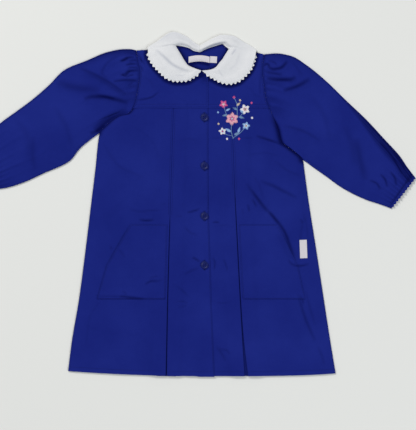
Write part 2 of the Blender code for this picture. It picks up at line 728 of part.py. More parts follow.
def build_smock():
    clear_scene()
    pieces = [build_back()]
    for side in ("right", "left"):
        pieces += [build_skirt(side), build_yoke(side), build_sleeve(side)]
        pieces += [build_collar(side), build_trim(side), build_pocket(side)]
    for number, height in enumerate(BUTTON_HEIGHTS, start=1):
        pieces += build_button(f"button_{number}", height)
    inside = BACK_LEVEL + LAYER
    pieces += [build_label("neck_label", inside), build_label("size_label", inside)]
    pieces.append(build_label("side_label", front_level("left", *LABELS["side_label"][0])))
    centre_on_underside(pieces)


build_smock()
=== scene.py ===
import math

import bpy
import numpy as np
from mathutils.bvhtree import BVHTree
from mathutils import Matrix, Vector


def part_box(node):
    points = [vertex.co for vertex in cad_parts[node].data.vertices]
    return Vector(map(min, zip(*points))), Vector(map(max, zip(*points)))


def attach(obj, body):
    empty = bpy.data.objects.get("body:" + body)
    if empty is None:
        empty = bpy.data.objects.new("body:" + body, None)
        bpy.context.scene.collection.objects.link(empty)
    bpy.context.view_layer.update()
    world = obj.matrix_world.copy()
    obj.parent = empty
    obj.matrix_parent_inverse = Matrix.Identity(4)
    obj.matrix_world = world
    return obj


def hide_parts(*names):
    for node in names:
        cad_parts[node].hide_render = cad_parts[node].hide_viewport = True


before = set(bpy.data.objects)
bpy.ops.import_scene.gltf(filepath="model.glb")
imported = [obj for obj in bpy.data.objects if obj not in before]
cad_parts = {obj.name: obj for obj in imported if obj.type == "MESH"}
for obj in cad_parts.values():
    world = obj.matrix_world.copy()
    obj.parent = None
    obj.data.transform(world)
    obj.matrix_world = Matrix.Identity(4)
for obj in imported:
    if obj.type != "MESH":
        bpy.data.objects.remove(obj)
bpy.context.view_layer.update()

# The smock is drawn in millimetres: x from the button line to the wearer's left, y up from the
# hem, z up from the table. The top button's place in the frame says where the drawing lies.
place = {"topButtonX": 1.0, "topButtonY": 517.0}
lowCorner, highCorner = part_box("button_1")
shiftX = (lowCorner[0] + highCorner[0]) / 2 - place["topButtonX"] / 1000
shiftY = (lowCorner[1] + highCorner[1]) / 2 - place["topButtonY"] / 1000

bpy.context.scene.view_settings.view_transform = "Standard"

# Camera, table and light
camera = {"seenWidth": 0.832, "height": 3.2, "sensor": 36.0, "middle": (8.0, 322.0)}
table = {"size": 24.0, "below": 0.0006, "colour": (0.80, 0.805, 0.775), "roughness": 0.6}
lights = {
    "sky": (0.95, 0.97, 1.0), "skyStrength": 0.40,
    "key": {"at": (-2.3, 3.1, 3.7), "size": 1.5, "power": 150.0, "colour": (1.0, 0.985, 0.96)},
    "fill": {"at": (2.6, -2.2, 3.6), "size": 2.6, "power": 84.0, "colour": (0.94, 0.97, 1.0)},
}

lens = bpy.data.cameras.new("photoCamera")
lens.sensor_fit = "HORIZONTAL"
lens.sensor_width = camera["sensor"]
lens.lens = camera["sensor"] * camera["height"] / camera["seenWidth"]
lens.clip_end = 20.0
viewer = bpy.data.objects.new("photoCamera", lens)
viewer.location = (
    camera["middle"][0] / 1000 + shiftX, camera["middle"][1] / 1000 + shiftY, camera["height"],
)
bpy.context.scene.collection.objects.link(viewer)
bpy.context.scene.camera = viewer


def addLight(name, facts):
    lamp = bpy.data.lights.new(name, "AREA")
    lamp.size = facts["size"]
    lamp.energy = facts["power"]
    lamp.color = facts["colour"]
    holder = bpy.data.objects.new(name, lamp)
    holder.location = facts["at"]
    bpy.context.scene.collection.objects.link(holder)
    flat = math.hypot(*facts["at"][:2])
    holder.rotation_euler = (
        0.0, math.atan2(flat, facts["at"][2]), math.atan2(facts["at"][1], facts["at"][0]),
    )


def setStage():
    sky = bpy.data.worlds.new("softRoom")
    sky.use_nodes = True
    backdrop = sky.node_tree.nodes["Background"].inputs
    backdrop["Color"].default_value = (*lights["sky"], 1.0)
    backdrop["Strength"].default_value = lights["skyStrength"]
    bpy.context.scene.world = sky
    addLight("keyLight", lights["key"])
    addLight("fillLight", lights["fill"])
    half = table["size"] / 2
    sheet = bpy.data.meshes.new("paleTable")
    corners = [(-half, -half, 0), (half, -half, 0), (half, half, 0), (-half, half, 0)]
    sheet.from_pydata(corners, [], [(0, 1, 2, 3)])
    surface = bpy.data.objects.new("paleTable", sheet)
    surface.location.z = -table["below"]
    bpy.context.scene.collection.objects.link(surface)
    finish, tree, shader = startFinish("palePaper", 0.5)
    shader.inputs["Roughness"].default_value = table["roughness"]
    cloud = addNode(tree, "ShaderNodeTexNoise", Scale=3.0)
    darker = [0.985 * c for c in table["colour"]]
    twoColours(tree, cloud, darker, table["colour"], shader.inputs["Base Color"])
    sheet.materials.append(finish)


# Smooth lines and soft steps

def ease(value, start, end):
    share = np.clip((value - start) / (end - start), 0.0, 1.0)
    return share * share * (3 - 2 * share)


def fall(value, start, end):
    return 1 - ease(value, start, end)


def bell(value, width):
    return np.exp(-((value / width) ** 2))


def mix(first, second, share):
    return first + (second - first) * share


def joined(*columns):
    return np.stack(columns, axis=1)


def settle(air, firmness):
    # loose cloth that never sinks into the layer below
    return np.log1p(np.exp(firmness * air)) / firmness


def gentle(knots, values, at):
    # a smooth line through the given values that never swings past them
    knots, values = np.asarray(knots, float), np.asarray(values, float)
    at = np.clip(np.asarray(at, float), knots[0], knots[-1])
    step = np.diff(knots)
    slope = np.diff(values) / step
    tangent = np.empty_like(values)
    tangent[0], tangent[-1] = slope[0], slope[-1]
    both = slope[:-1] * slope[1:]
    total = np.where(both > 0, slope[:-1] + slope[1:], 1.0)
    tangent[1:-1] = np.where(both > 0, 2 * both / total, 0.0)
    index = np.clip(np.searchsorted(knots, at, side="right") - 1, 0, len(step) - 1)
    t = (at - knots[index]) / step[index]
    first, second = values[index], values[index + 1]
    startPull, endPull = tangent[index] * step[index], tangent[index + 1] * step[index]
    return (
        first * (1 + 2 * t) * (1 - t) ** 2 + startPull * t * (1 - t) ** 2
        + second * t * t * (3 - 2 * t) + endPull * t * t * (t - 1)
    )


def readTable(rows, at, column=1):
    rows = np.array([row[:3] for row in rows], float)
    return gentle(rows[:, 0], rows[:, column], at)


def lineLengths(points):
    steps = np.linalg.norm(np.diff(points, axis=0), axis=1)
    return np.concatenate([[0.0], np.cumsum(steps)])


def alongLine(points, shares):
    # points at shares of the length of a soft line through the given ones
    points = np.asarray(points, float)
    length = lineLengths(points)
    fine = np.linspace(0, length[-1], 400)
    soft = np.stack([gentle(length, points[:, axis], fine) for axis in range(points.shape[1])], axis=1)
    true = lineLengths(soft)
    return np.stack(
        [np.interp(shares, true / true[-1], soft[:, axis]) for axis in range(points.shape[1])], axis=-1,
    )


def billow(x, y, wave, seed):
    # slow uneven swell of cloth that lies loose, from -1 to 1
    chance = np.random.default_rng(seed)
    total = np.zeros_like(x)
    for _ in range(7):
        angle, first, second = chance.uniform(0, 2 * math.pi, 3)
        pace = 2 * math.pi / (wave * chance.uniform(0.7, 1.6))
        ahead = x * math.cos(angle) + y * math.sin(angle)
        beside = y * math.cos(angle) - x * math.sin(angle)
        total += np.sin(pace * ahead + first + 1.2 * np.sin(0.6 * pace * beside + second))
    return total / 4


def ripples(x, y, waves):
    # waves: height, length and seed of each swell
    return sum(rise * billow(x, y, wave, seed) for rise, wave, seed in waves)


def nearestOn(x, y, line):
    # distance, share along and side of the nearest point of a line, for many points
    line = np.asarray(line, float)
    length = lineLengths(line)
    best = np.full(x.shape, 1e9)
    along = np.zeros(x.shape)
    side = np.ones(x.shape)
    for (x0, y0), (x1, y1), start, end in zip(line, line[1:], length, length[1:]):
        dx, dy = x1 - x0, y1 - y0
        t = np.clip(((x - x0) * dx + (y - y0) * dy) / (dx * dx + dy * dy), 0.0, 1.0)
        away = np.hypot(x - x0 - t * dx, y - y0 - t * dy)
        nearer = away < best
        best = np.where(nearer, away, best)
        along = np.where(nearer, (start + t * (end - start)) / length[-1], along)
        side = np.where(nearer, np.sign(dx * (y - y0) - dy * (x - x0)), side)
    return best, along, side


def pressFolds(x, y, folds):
    # each fold: its line, how high it stands, how wide it is to the left and to the right of the
    # line, and the depth and half width of the sharp groove along it
    height, paintedShade = np.zeros_like(x), np.zeros_like(x)
    for line, rise, leftWidth, rightWidth, groove, grooveWidth in folds:
        fine = alongLine(line, np.linspace(0, 1, 3 * len(line)))
        away, along, side = nearestOn(x, y, fine)
        fade = np.sqrt(np.clip(4 * along * (1 - along), 0, 1))
        width = np.where(side > 0, leftWidth, rightWidth)
        height += fade * rise * bell(away, width)
        height -= fade * groove * bell(away, grooveWidth)
        # painted shade: the groove is also darkened in colour along its line
        paintedShade += fade * min(groove, 2.2) * 0.42 * bell(away, 1.1 * grooveWidth)
    return height, paintedShade


# Finishes

def addNode(tree, kind, **sockets):
    node = tree.nodes.new(kind)
    for name, value in sockets.items():
        node.inputs[name].default_value = value
    return node


def startFinish(name, specular):
    finish = bpy.data.materials.new(name)
    finish.use_nodes = True
    shader = finish.node_tree.nodes["Principled BSDF"]
    shader.inputs["Specular IOR Level"].default_value = specular
    return finish, finish.node_tree, shader


def addTexture(tree, kind, **sockets):
    # a texture that keeps its place on the piece
    texture = addNode(tree, kind, **sockets)
    spot = addNode(tree, "ShaderNodeTexCoord")
    tree.links.new(spot.outputs["Object"], texture.inputs["Vector"])
    return texture


def twoColours(tree, source, first, second, into):
    ramp = addNode(tree, "ShaderNodeValToRGB")
    ramp.color_ramp.elements[0].color = (*first, 1.0)
    ramp.color_ramp.elements[1].color = (*second, 1.0)
    tree.links.new(source.outputs["Fac"], ramp.inputs["Fac"])
    tree.links.new(ramp.outputs["Color"], into)
    return ramp


def scaleInto(tree, source, low, high, into):
    # the source's 0 to 1, spread from low to high
    scaled = addNode(tree, "ShaderNodeMapRange", **{"To Min": low, "To Max": high})
    tree.links.new(source, scaled.inputs["Value"])
    tree.links.new(scaled.outputs["Result"], into)


def addBump(tree, source, strength, depth):
    bump = addNode(tree, "ShaderNodeBump", Strength=strength, Distance=depth)
    tree.links.new(source, bump.inputs["Height"])
    return bump


grain = {
    "waveDistortion": 0.35, "slubScale": 420.0, "rumpleScale": 34.0, "patchScale": 9.0,
    "patchEnds": (0.38, 0.68), "weaveShade": (0.72, 1.12), "weaveShare": 0.35, "polish": (-0.06, 0.10),
    "weaveRelief": 0.6, "slubRelief": 0.35, "rumpleRelief": 0.8, "sheenRoughness": 0.45,
}
# each look's shadeColour is the colour that painted shade in folds and hollows darkens toward
clothLook = {
    "dye": (0.0082, 0.0165, 0.1945), "worn": (0.0112, 0.0217, 0.2245), "shadeColour": (0.0006, 0.0026, 0.066),
    "roughness": 0.74, "specular": 0.05, "sheen": 0.02, "sheenTint": (0.25, 0.35, 1.0),
    "weavePitch": 0.0007, "weaveDepth": 0.00012, "wrinkle": 0.0020, "slub": 0.0003,
}
collarLook = {
    "dye": (0.755, 0.765, 0.79), "worn": (0.83, 0.835, 0.85), "shadeColour": (0.30, 0.33, 0.42),
    "roughness": 0.66, "specular": 0.3, "sheen": 0.1, "sheenTint": (1.0, 1.0, 1.0),
    "weavePitch": 0.0006, "weaveDepth": 0.0001, "wrinkle": 0.0009, "slub": 0.0002,
}
braidLook = dict(
    collarLook, dye=(0.86, 0.87, 0.89), worn=(0.92, 0.925, 0.93), weavePitch=0.0011, weaveDepth=0.0003,
)
labelLook = dict(
    collarLook, dye=(0.66, 0.63, 0.66), worn=(0.76, 0.72, 0.77), weavePitch=0.0009, roughness=0.45,
)


def wovenFinish(name, look):
    finish, tree, shader = startFinish(name, look["specular"])
    link = tree.links.new
    shader.inputs["Sheen Weight"].default_value = look["sheen"]
    shader.inputs["Sheen Tint"].default_value = (*look["sheenTint"], 1.0)
    shader.inputs["Sheen Roughness"].default_value = grain["sheenRoughness"]

    # plain weave: warp and weft threads that pass over each other
    pace = 2 * math.pi / (20 * look["weavePitch"])
    warp, weft = (addTexture(tree, "ShaderNodeTexWave", Scale=pace) for _ in range(2))
    for thread in (warp, weft):
        thread.inputs["Distortion"].default_value = grain["waveDistortion"]
    weft.bands_direction = "Y"
    weave = addNode(tree, "ShaderNodeMath")
    weave.operation = "MULTIPLY"
    link(warp.outputs["Fac"], weave.inputs[0])
    link(weft.outputs["Fac"], weave.inputs[1])
    slubs = addTexture(tree, "ShaderNodeTexNoise", Scale=grain["slubScale"], Detail=3.0)
    rumple = addTexture(
        tree, "ShaderNodeTexNoise", Scale=grain["rumpleScale"], Detail=5.0, Roughness=0.55, Distortion=0.6,
    )
    shades = addTexture(tree, "ShaderNodeTexNoise", Scale=grain["patchScale"], Detail=4.0)

    # one relief over the other: weave, slubs, fine rumples
    low = addBump(tree, weave.outputs[0], grain["weaveRelief"], look["weaveDepth"])
    middle = addBump(tree, slubs.outputs["Fac"], grain["slubRelief"], look["slub"])
    top = addBump(tree, rumple.outputs["Fac"], grain["rumpleRelief"], look["wrinkle"])
    link(low.outputs["Normal"], middle.inputs["Normal"])
    link(middle.outputs["Normal"], top.inputs["Normal"])
    link(top.outputs["Normal"], shader.inputs["Normal"])

    # colour: dyed and worn shades in patches, the weave's own shade, and painted shade in deep folds, at
    # seams and under overlapping parts, mixed in by the foldShade attribute
    threads = addNode(tree, "ShaderNodeMix")
    threads.data_type = "RGBA"
    threads.blend_type = "MULTIPLY"
    threads.inputs["Factor"].default_value = grain["weaveShare"]
    patches = twoColours(tree, shades, look["dye"], look["worn"], threads.inputs["A"])
    for stop, position in zip(patches.color_ramp.elements, grain["patchEnds"]):
        stop.position = position
    scaleInto(tree, weave.outputs[0], *grain["weaveShade"], threads.inputs["B"])
    folds = addNode(tree, "ShaderNodeAttribute")
    folds.attribute_name = "foldShade"
    dark = addNode(tree, "ShaderNodeMix")
    dark.data_type = "RGBA"
    link(folds.outputs["Fac"], dark.inputs["Factor"])
    link(threads.outputs["Result"], dark.inputs["A"])
    dark.inputs["B"].default_value = (*look["shadeColour"], 1.0)
    link(dark.outputs["Result"], shader.inputs["Base Color"])

    # threads polish a little where the cloth is rubbed
    low, high = (look["roughness"] + change for change in grain["polish"])
    scaleInto(tree, rumple.outputs["Fac"], low, high, shader.inputs["Roughness"])
    return finish


def threadFinish(name, colour):
    finish, tree, shader = startFinish(name, 0.12)
    shader.inputs["Roughness"].default_value = 0.55
    twist = addTexture(tree, "ShaderNodeTexNoise", Scale=700.0, Detail=2.0)
    dark, pale = [0.7 * c for c in colour], [min(1.0, 1.15 * c) for c in colour]
    twoColours(tree, twist, dark, pale, shader.inputs["Base Color"])
    bump = addBump(tree, twist.outputs["Fac"], 0.4, 0.0002)
    tree.links.new(bump.outputs["Normal"], shader.inputs["Normal"])
    return finish


clothFinish = wovenFinish("royalBluePoplin", clothLook)
collarFinish = wovenFinish("whiteCollarCotton", collarLook)
braidFinish = wovenFinish("whiteBraid", braidLook)
labelFinish = wovenFinish("blankWovenTape", labelLook)
blueThread = threadFinish("blueThread", (0.0035, 0.0085, 0.125))
whiteThread = threadFinish("whiteThread", (0.80, 0.82, 0.86))

covers = {}  # what stitches, buttons and labels lie on, by piece name


def makeMesh(name, points, faces, finish, sharpAngle=62):
    mesh = bpy.data.meshes.new(name)
    placed = np.asarray(points, float) / 1000 + np.array([shiftX, shiftY, 0.0])
    mesh.from_pydata(placed.tolist(), [], faces)
    mesh.materials.append(finish)
    mesh.shade_smooth()
    mesh.set_sharp_from_angle(angle=math.radians(sharpAngle))
    piece = bpy.data.objects.new(name, mesh)
    bpy.context.scene.collection.objects.link(piece)
    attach(piece, "root")
    return piece


def makeShell(name, rows, wall, finish, paintedShades=None, cover=True):
    # closed wall of cloth about rows of points, joined point by point
    rows = [np.asarray(row, float) for row in rows]
    points = np.vstack(rows)
    starts = np.cumsum([0] + [len(row) for row in rows])
    strips = []
    for index in range(len(rows) - 1):
        count = np.arange(min(len(rows[index]), len(rows[index + 1])) - 1)
        here, there = starts[index] + count, starts[index + 1] + count
        strips.append(joined(here, here + 1, there + 1, there))
    quads = np.vstack(strips)
    a, b, c, d = (points[quads[:, corner]] for corner in range(4))
    facing = np.cross(c - a, d - b)
    normals = np.zeros_like(points)
    for corner in range(4):
        np.add.at(normals, quads[:, corner], facing)
    normals /= np.maximum(np.linalg.norm(normals, axis=1), 1e-9)[:, None]
    upper, lower = points + normals * wall / 2, points - normals * wall / 2
    count = len(points)
    edges = np.vstack([quads[:, [0, 1]], quads[:, [1, 2]], quads[:, [2, 3]], quads[:, [3, 0]]])
    keys, backKeys = edges[:, 0] * count + edges[:, 1], edges[:, 1] * count + edges[:, 0]
    rim = edges[np.isin(keys, backKeys, invert=True)]
    sides = joined(rim[:, 1], rim[:, 0], rim[:, 0] + count, rim[:, 1] + count)
    faces = np.vstack([quads, quads[:, ::-1] + count, sides]).tolist()
    allPoints = np.vstack([upper, lower])
    piece = makeMesh(name, allPoints, faces, finish)
    # painted shade per point, stored as the foldShade attribute that darkens the finish's colour
    shade = piece.data.attributes.new("foldShade", "FLOAT", "POINT")
    values = np.zeros(count)
    if paintedShades is not None:
        values = np.clip(np.concatenate([np.ravel(paintedShade) for paintedShade in paintedShades]), 0, 1)
    shade.data.foreach_set("value", np.concatenate([values, values]))
    if cover:
        covers[name] = BVHTree.FromPolygons(allPoints.tolist(), faces)
    return piece


def topOf(x, y, names):
    # height of the highest of these pieces at a point
    best = None
    for name in names:
        hit = covers[name].ray_cast((x, y, 90.0), (0.0, 0.0, -1.0))
        if hit[0] is not None and (best is None or hit[0].z > best):
            best = hit[0].z
    return best


# The body's outline and layers, which several pieces share
body = {
    "sides": {
        "right": [
            (0, 271.6), (62, 264.4), (152, 250.0), (250, 237.0), (352, 224.6), (412, 217.2),
            (486, 208.4), (500, 196.4), (519, 172.0), (524, 152.0), (539, 140.6),
            (568, 133.0), (608, 128.0), (628, 132.0), (651, 135.0),
        ],
        "left": [
            (0, 263.0), (62, 253.2), (152, 239.6), (250, 224.6), (352, 208.6), (412, 200.4),
            (432, 197.6), (452, 176.0), (466, 158.0), (494, 150.4), (524, 135.4),
            (560, 122.8), (582, 120.4), (607, 117.0), (643, 120.0),
        ],
    },
    "underarm": {"right": 486.0, "left": 432.0},
    "shoulder": {"right": 651.0, "left": 643.0},
    "pleats": {  # height, distance out, half the gap between the lips
        "right": [
            (0, 75.4, 0.7), (148, 72.6, 0.45), (290, 68.8, 0.3), (322, 67.8, 0.05), (366, 66.3, 0.03),
            (536, 61.0, 0.02),
        ],
        "left": [
            (0, 84.6, 3.0), (72, 78.0, 1.2), (148, 73.0, 0.5), (280, 66.0, 0.35), (366, 61.7, 0.1),
            (400, 60.4, 0.03), (536, 55.0, 0.02),
        ],
    },
    "laps": {
        "right": [(0, 21.0), (92, 17.2), (236, 12.2), (352, 8.8), (603, 8.0)],
        "left": [(0, 20.0), (604, 24.0)],
    },
    "necks": {
        "right": [(603, -8.0), (607, 4.4), (613, 18.0), (618, 31.0), (642, 47.0), (658, 57.0), (664, 62.0)],
        "left": [(604, -24.0), (609, 10.6), (614, 24.5), (636, 41.0), (652, 50.5), (660, 56.0)],
    },
    "shoulders": {
        "right": [(62.0, 664.0), (114.0, 652.0), (135.0, 651.0)],
        "left": [(56.0, 660.0), (106.0, 646.2), (120.0, 643.0)],
    },
    "backNeck": [
        (-57.2, 660.4), (-49.0, 659.5), (-40.6, 658.4), (-29.0, 655.2), (-20.4, 649.8), (-9.2, 647.3),
        (-7.4, 647.5), (10.6, 655.8), (24.0, 660.0), (37.2, 663.8), (43.3, 658.4), (49.4, 653.0),
    ],
    "shut": {"right": (300, 324), "left": (350, 374)},  # heights between which a pleat's lips close
    "hemCurve": {"right": (10.0, 2), "left": (5.5, 4)},  # rise at the side seam, power of the curve
    "yokeSeam": 534.7, "backLevel": 0.45, "frontLevel": 1.8, "layer": 1.3, "pleatLayer": 1.4,
    "pleatHalf": 19.0, "stackFlat": 21.0, "stackEnd": 38.0, "wall": 0.75,
}
outward = {"right": -1.0, "left": 1.0}


def sideOut(side, y):
    return readTable(body["sides"][side], y)


def pleatOut(side, y):
    return readTable(body["pleats"][side], y)


def collarLift(x, y):
    beside = ease(x, -133, -119) * fall(x, 107, 119)
    return body["layer"] * ease(y, 575, 602) * beside


def hemRise(side, out):
    rise, power = body["hemCurve"][side]
    return rise * (out / body["sides"][side][0][1]) ** power


def lowered(side, out, level):
    return level + hemRise(side, out) * np.maximum(0.0, 1 - level / 150.0)


def frontBase(side, out, y):
    # middle of the front's upper layer where it lies tight
    fromLine = np.abs(out - pleatOut(side, y))
    overYoke = fall(y, body["yokeSeam"], body["yokeSeam"] + 40)
    stack = 2 * body["pleatLayer"] * fall(fromLine, body["stackFlat"], body["stackEnd"]) * overYoke
    lap = body["layer"] * fall(out, 30, 44) if side == "right" else np.zeros_like(out)
    raised = np.maximum(lap, stack)
    return body["frontLevel"] + collarLift(outward[side] * out, y) + raised


frontFolds = {
    "right": [
        ([(-150, 333), (-128, 329), (-100, 331), (-76, 333)], 0.9, 7, 11, 0.7, 1.7),
        ([(-130, 313), (-116, 311), (-100, 312)], 1.2, 6, 9, 1.7, 2.0),
        ([(-118, 183), (-104, 190), (-92, 190), (-78, 195)], 1.2, 7, 9, 1.8, 2.0),
        ([(-110, 196), (-96, 199), (-84, 201)], 0.8, 5, 5, 0.9, 1.6),
        ([(-170, 160), (-146, 157), (-120, 154)], 1.7, 7, 9, 2.2, 2.2),
        ([(-216, 160), (-190, 160), (-160, 158)], 1.0, 8, 9, 0.9, 1.6),
        ([(-64, 186), (-44, 172), (-30, 158)], 0.8, 7, 6, 0.8, 1.6),
        ([(-62, 146), (-46, 150), (-32, 146)], 0.6, 5, 5, 0.8, 1.5),
        ([(-58, 140), (-44, 139), (-34, 142)], 0.5, 4, 4, 0.7, 1.4),
        ([(-40, 300), (-26, 286), (-12, 282)], 0.8, 7, 7, 0.6, 1.8),
        ([(-163, 171), (-154, 163)], 1.0, 5, 6, 0.9, 1.5),
        ([(-188, 262), (-184, 252)], 0.9, 5, 6, 0.9, 1.6),
        ([(-172, 256), (-158, 238)], 0.9, 5, 7, 0.9, 1.6),
        ([(-232, 300), (-190, 330), (-150, 372)], 1.0, 16, 10, 0.0, 2.0),
        ([(-205, 470), (-170, 420), (-120, 396)], 1.4, 14, 9, 0.4, 2.4),
        ([(-214, 438), (-196, 380), (-190, 300)], 1.1, 16, 10, 0.0, 2.4),
        ([(-246, 130), (-180, 96), (-110, 90)], 1.0, 18, 12, 0.0, 2.4),
        ([(-236, 60), (-228, 120), (-206, 150)], 1.1, 12, 10, 0.3, 2.2),
        ([(-140, 500), (-104, 470), (-86, 430)], 0.9, 14, 9, 0.2, 2.2),
        ([(-52, 470), (-30, 474), (-8, 470)], 0.5, 8, 8, 0.3, 1.8),
        ([(-34, 327), (-20, 330), (-8, 334)], 0.7, 5, 5, 1.5, 1.7),
        ([(-58, 319), (-50, 320), (-43, 319)], 0.5, 4, 4, 0.9, 1.5),
        ([(-86, 342), (-78, 344), (-70, 342)], 0.6, 5, 5, 1.0, 1.8),
        ([(-24, 238), (-15, 233), (-8, 228)], 0.7, 5, 5, 1.6, 1.7),
        ([(-40, 203), (-24, 211), (-10, 217)], 0.8, 7, 7, 0.7, 2.4),
    ],
    "left": [
        ([(84, 386), (106, 354), (120, 336), (134, 324), (148, 304)], 2.0, 14, 9, 1.2, 2.8),
        ([(130, 328), (152, 302), (163, 284), (173, 256), (181, 238)], 3.0, 9, 12, 1.9, 2.8),
        ([(168, 233), (175, 224), (189, 220), (210, 224)], 1.6, 7, 9, 1.5, 2.0),
        ([(112, 390), (136, 381), (160, 369), (186, 356)], 1.8, 10, 14, 1.1, 3.2),
        ([(187, 166), (202, 116), (222, 70)], 2.2, 12, 10, 1.1, 2.6),
        ([(202, 172), (212, 136), (222, 102)], 1.4, 9, 10, 0.6, 2.2),
        ([(16, 476), (56, 477), (98, 475)], 0.8, 7, 8, 0.7, 1.6),
        ([(98, 400), (112, 378), (118, 352)], 1.2, 7, 8, 0.35, 2.4),
        ([(96, 372), (112, 350), (126, 334)], 1.2, 6, 6, 1.0, 2.0),
        ([(20, 300), (44, 301), (60, 298)], 0.6, 6, 7, 0.5, 1.5),
        ([(16, 150), (36, 146), (58, 150)], 0.6, 6, 7, 0.5, 1.5),
        ([(24, 60), (36, 44), (44, 30)], 0.9, 6, 6, 0.9, 1.8),
        ([(30, 54), (44, 52), (52, 44)], 0.7, 5, 5, 0.9, 1.6),
        ([(196, 330), (206, 300), (208, 262)], 0.9, 7, 8, 0.7, 2.0),
        ([(226, 60), (236, 40), (240, 22)], 1.0, 7, 8, 0.6, 2.4),
        ([(104, 480), (132, 471), (160, 462)], 2.2, 12, 9, 1.8, 2.2),
        ([(208, 398), (176, 406), (140, 430)], 1.3, 10, 14, 0.5, 2.2),
        ([(216, 330), (196, 300), (190, 250)], 1.2, 10, 14, 0.5, 2.4),
        ([(236, 120), (206, 200), (204, 270)], 0.9, 10, 14, 0.0, 2.4),
        ([(110, 60), (150, 96), (168, 150)], 0.9, 14, 12, 0.0, 2.4),
        ([(104, 300), (128, 240), (130, 190)], 0.8, 14, 12, 0.0, 2.4),
        ([(84, 440), (120, 446), (150, 440)], 0.8, 10, 12, 0.3, 2.0),
        ([(17, 307), (24, 308), (31, 306)], 0.5, 3, 3, 1.4, 1.6),
        ([(17, 238), (22, 226), (20, 212)], 0.5, 3, 4, 1.2, 1.5),
        ([(39, 234), (44, 222), (47, 210)], 0.5, 4, 4, 1.2, 1.5),
        ([(76, 336), (77, 330), (78, 323)], 0.5, 3, 3, 1.7, 1.5),
        ([(87, 344), (89, 336), (90, 328)], 0.5, 3, 3, 1.5, 1.5),
        ([(96, 354), (101, 346), (105, 338)], 0.7, 4, 4, 1.3, 1.7),
        ([(193, 314), (197, 305)], 0.4, 3, 3, 1.1, 1.6),
        ([(192, 162), (196, 154), (200, 143)], 0.7, 4, 4, 1.1, 1.8),
    ],
}
frontPanels = {
    "step": 2.9, "waves": [(0.8, 105.0, 5), (0.20, 26.0, 11), (0.10, 11.0, 12)], "loft": 1.36,
    "firm": 3.0, "seamDrop": 0.55, "hemDepth": 10.0, "hemRidge": 0.35, "tuck": 0.35,
    "pleatReach": 8.0, "pleatShade": 0.5, "innerPoints": 34, "seamShade": (0.45, 1.5),
    "hemDip": {"right": 1.3, "left": 0.0}, "peek": {"right": -0.9, "left": 0.4},
    "gapReach": {"right": 5.0, "left": 8.0}, "gapShade": {"right": 0.8, "left": 1.5},
    "cut": {"right": (0.370, 0.545), "left": (0.360, 0.545)},
    "area": {"right": 0.158, "left": 0.150},
}


def frontHeight(side, out, y, hem=True):
    # the panel as it lies: loose cloth swells and creases, held down by seams, pleats and hem
    x = outward[side] * out
    folds, paintedShade = pressFolds(x, y, frontFolds[side])
    swell = ripples(x, y, frontPanels["waves"]) + frontPanels["loft"]
    fromEdge = sideOut(side, y) - out
    fromPleat = np.abs(out - pleatOut(side, y))
    loose = ease(fromEdge, 0, 22) * (0.25 + 0.75 * ease(fromPleat, 10, 34))
    loose = loose * (0.35 + 0.65 * ease(out, -30, 28))
    loose = loose * (0.3 + 0.7 * ease(y, 2, 30)) * (1 - 0.6 * ease(y, 500, body["yokeSeam"]))
    air = settle((swell + folds) * loose, frontPanels["firm"])
    seamDrop = frontPanels["seamDrop"] * fall(fromEdge, 0, 4.5) * (fromEdge > -3)
    if hem:
        depth = frontPanels["hemDepth"]
        air += frontPanels["hemRidge"] * fall(y - hemRise(side, out), depth - 1.2, depth)
    # painted shade in the underarm hollow, along the side seam and as a shadow line along the lap's edge
    underarm = body["underarm"][side]
    hollow = ease(y, underarm - 12, underarm) * fall(y, underarm + 58, underarm + 96)
    atSeam = frontPanels["gapShade"][side] * hollow * bell(fromEdge, frontPanels["gapReach"][side])
    dark, width = frontPanels["seamShade"]
    atSeam += dark * bell(fromEdge, width)
    fromLap = out + readTable(body["laps"]["right"], y)
    if side == "left":
        atSeam += (0.55 + 0.3 * ease(y, 120, 320)) * bell(fromLap - 0.3, 1.5)
    else:
        atSeam += 0.35 * bell(fromLap, 1.1)
    return frontBase(side, out, y) + air - seamDrop, paintedShade * loose + atSeam


def edgeLevels(side, low, high, step):
    # heights whose points stand evenly along the side edge, so that no row is too long there
    fine = np.linspace(low, high, 3000)
    length = lineLengths(joined(sideOut(side, fine), fine))
    return np.interp(np.linspace(0, length[-1], int(length[-1] / step) + 1), length, fine)


def foldArc(centreOut, centreZ, radius, start, stop, steps=6):
    angles = np.radians(np.linspace(start, stop, steps + 1))
    return [(centreOut + radius * math.cos(a), centreZ + radius * math.sin(a)) for a in angles]


def pleatSection(halfGap):
    # across an inverted box pleat: out from its line, height over the lowest layer
    layer, radius = body["pleatLayer"], body["pleatLayer"] / 2
    lip, fold = halfGap + body["wall"] / 2 + radius, body["pleatHalf"] - radius
    section = [(8.0, 2 * layer), (5.0, 2 * layer)]
    section += foldArc(lip, 3 * radius, radius, 90, 270)
    section += [(8.0, layer), (13.0, layer)]
    section += foldArc(fold, radius, radius, 90, -90)
    section += [(12.0, 0.0), (6.0, 0.0), (0.0, 0.0), (-6.0, 0.0), (-12.0, 0.0)]
    section += foldArc(-fold, radius, radius, 270, 90)
    section += [(-13.0, layer), (-8.0, layer)]
    section += foldArc(-lip, 3 * radius, radius, -90, 90)
    section += [(-5.0, 2 * layer), (-8.0, 2 * layer)]
    return section


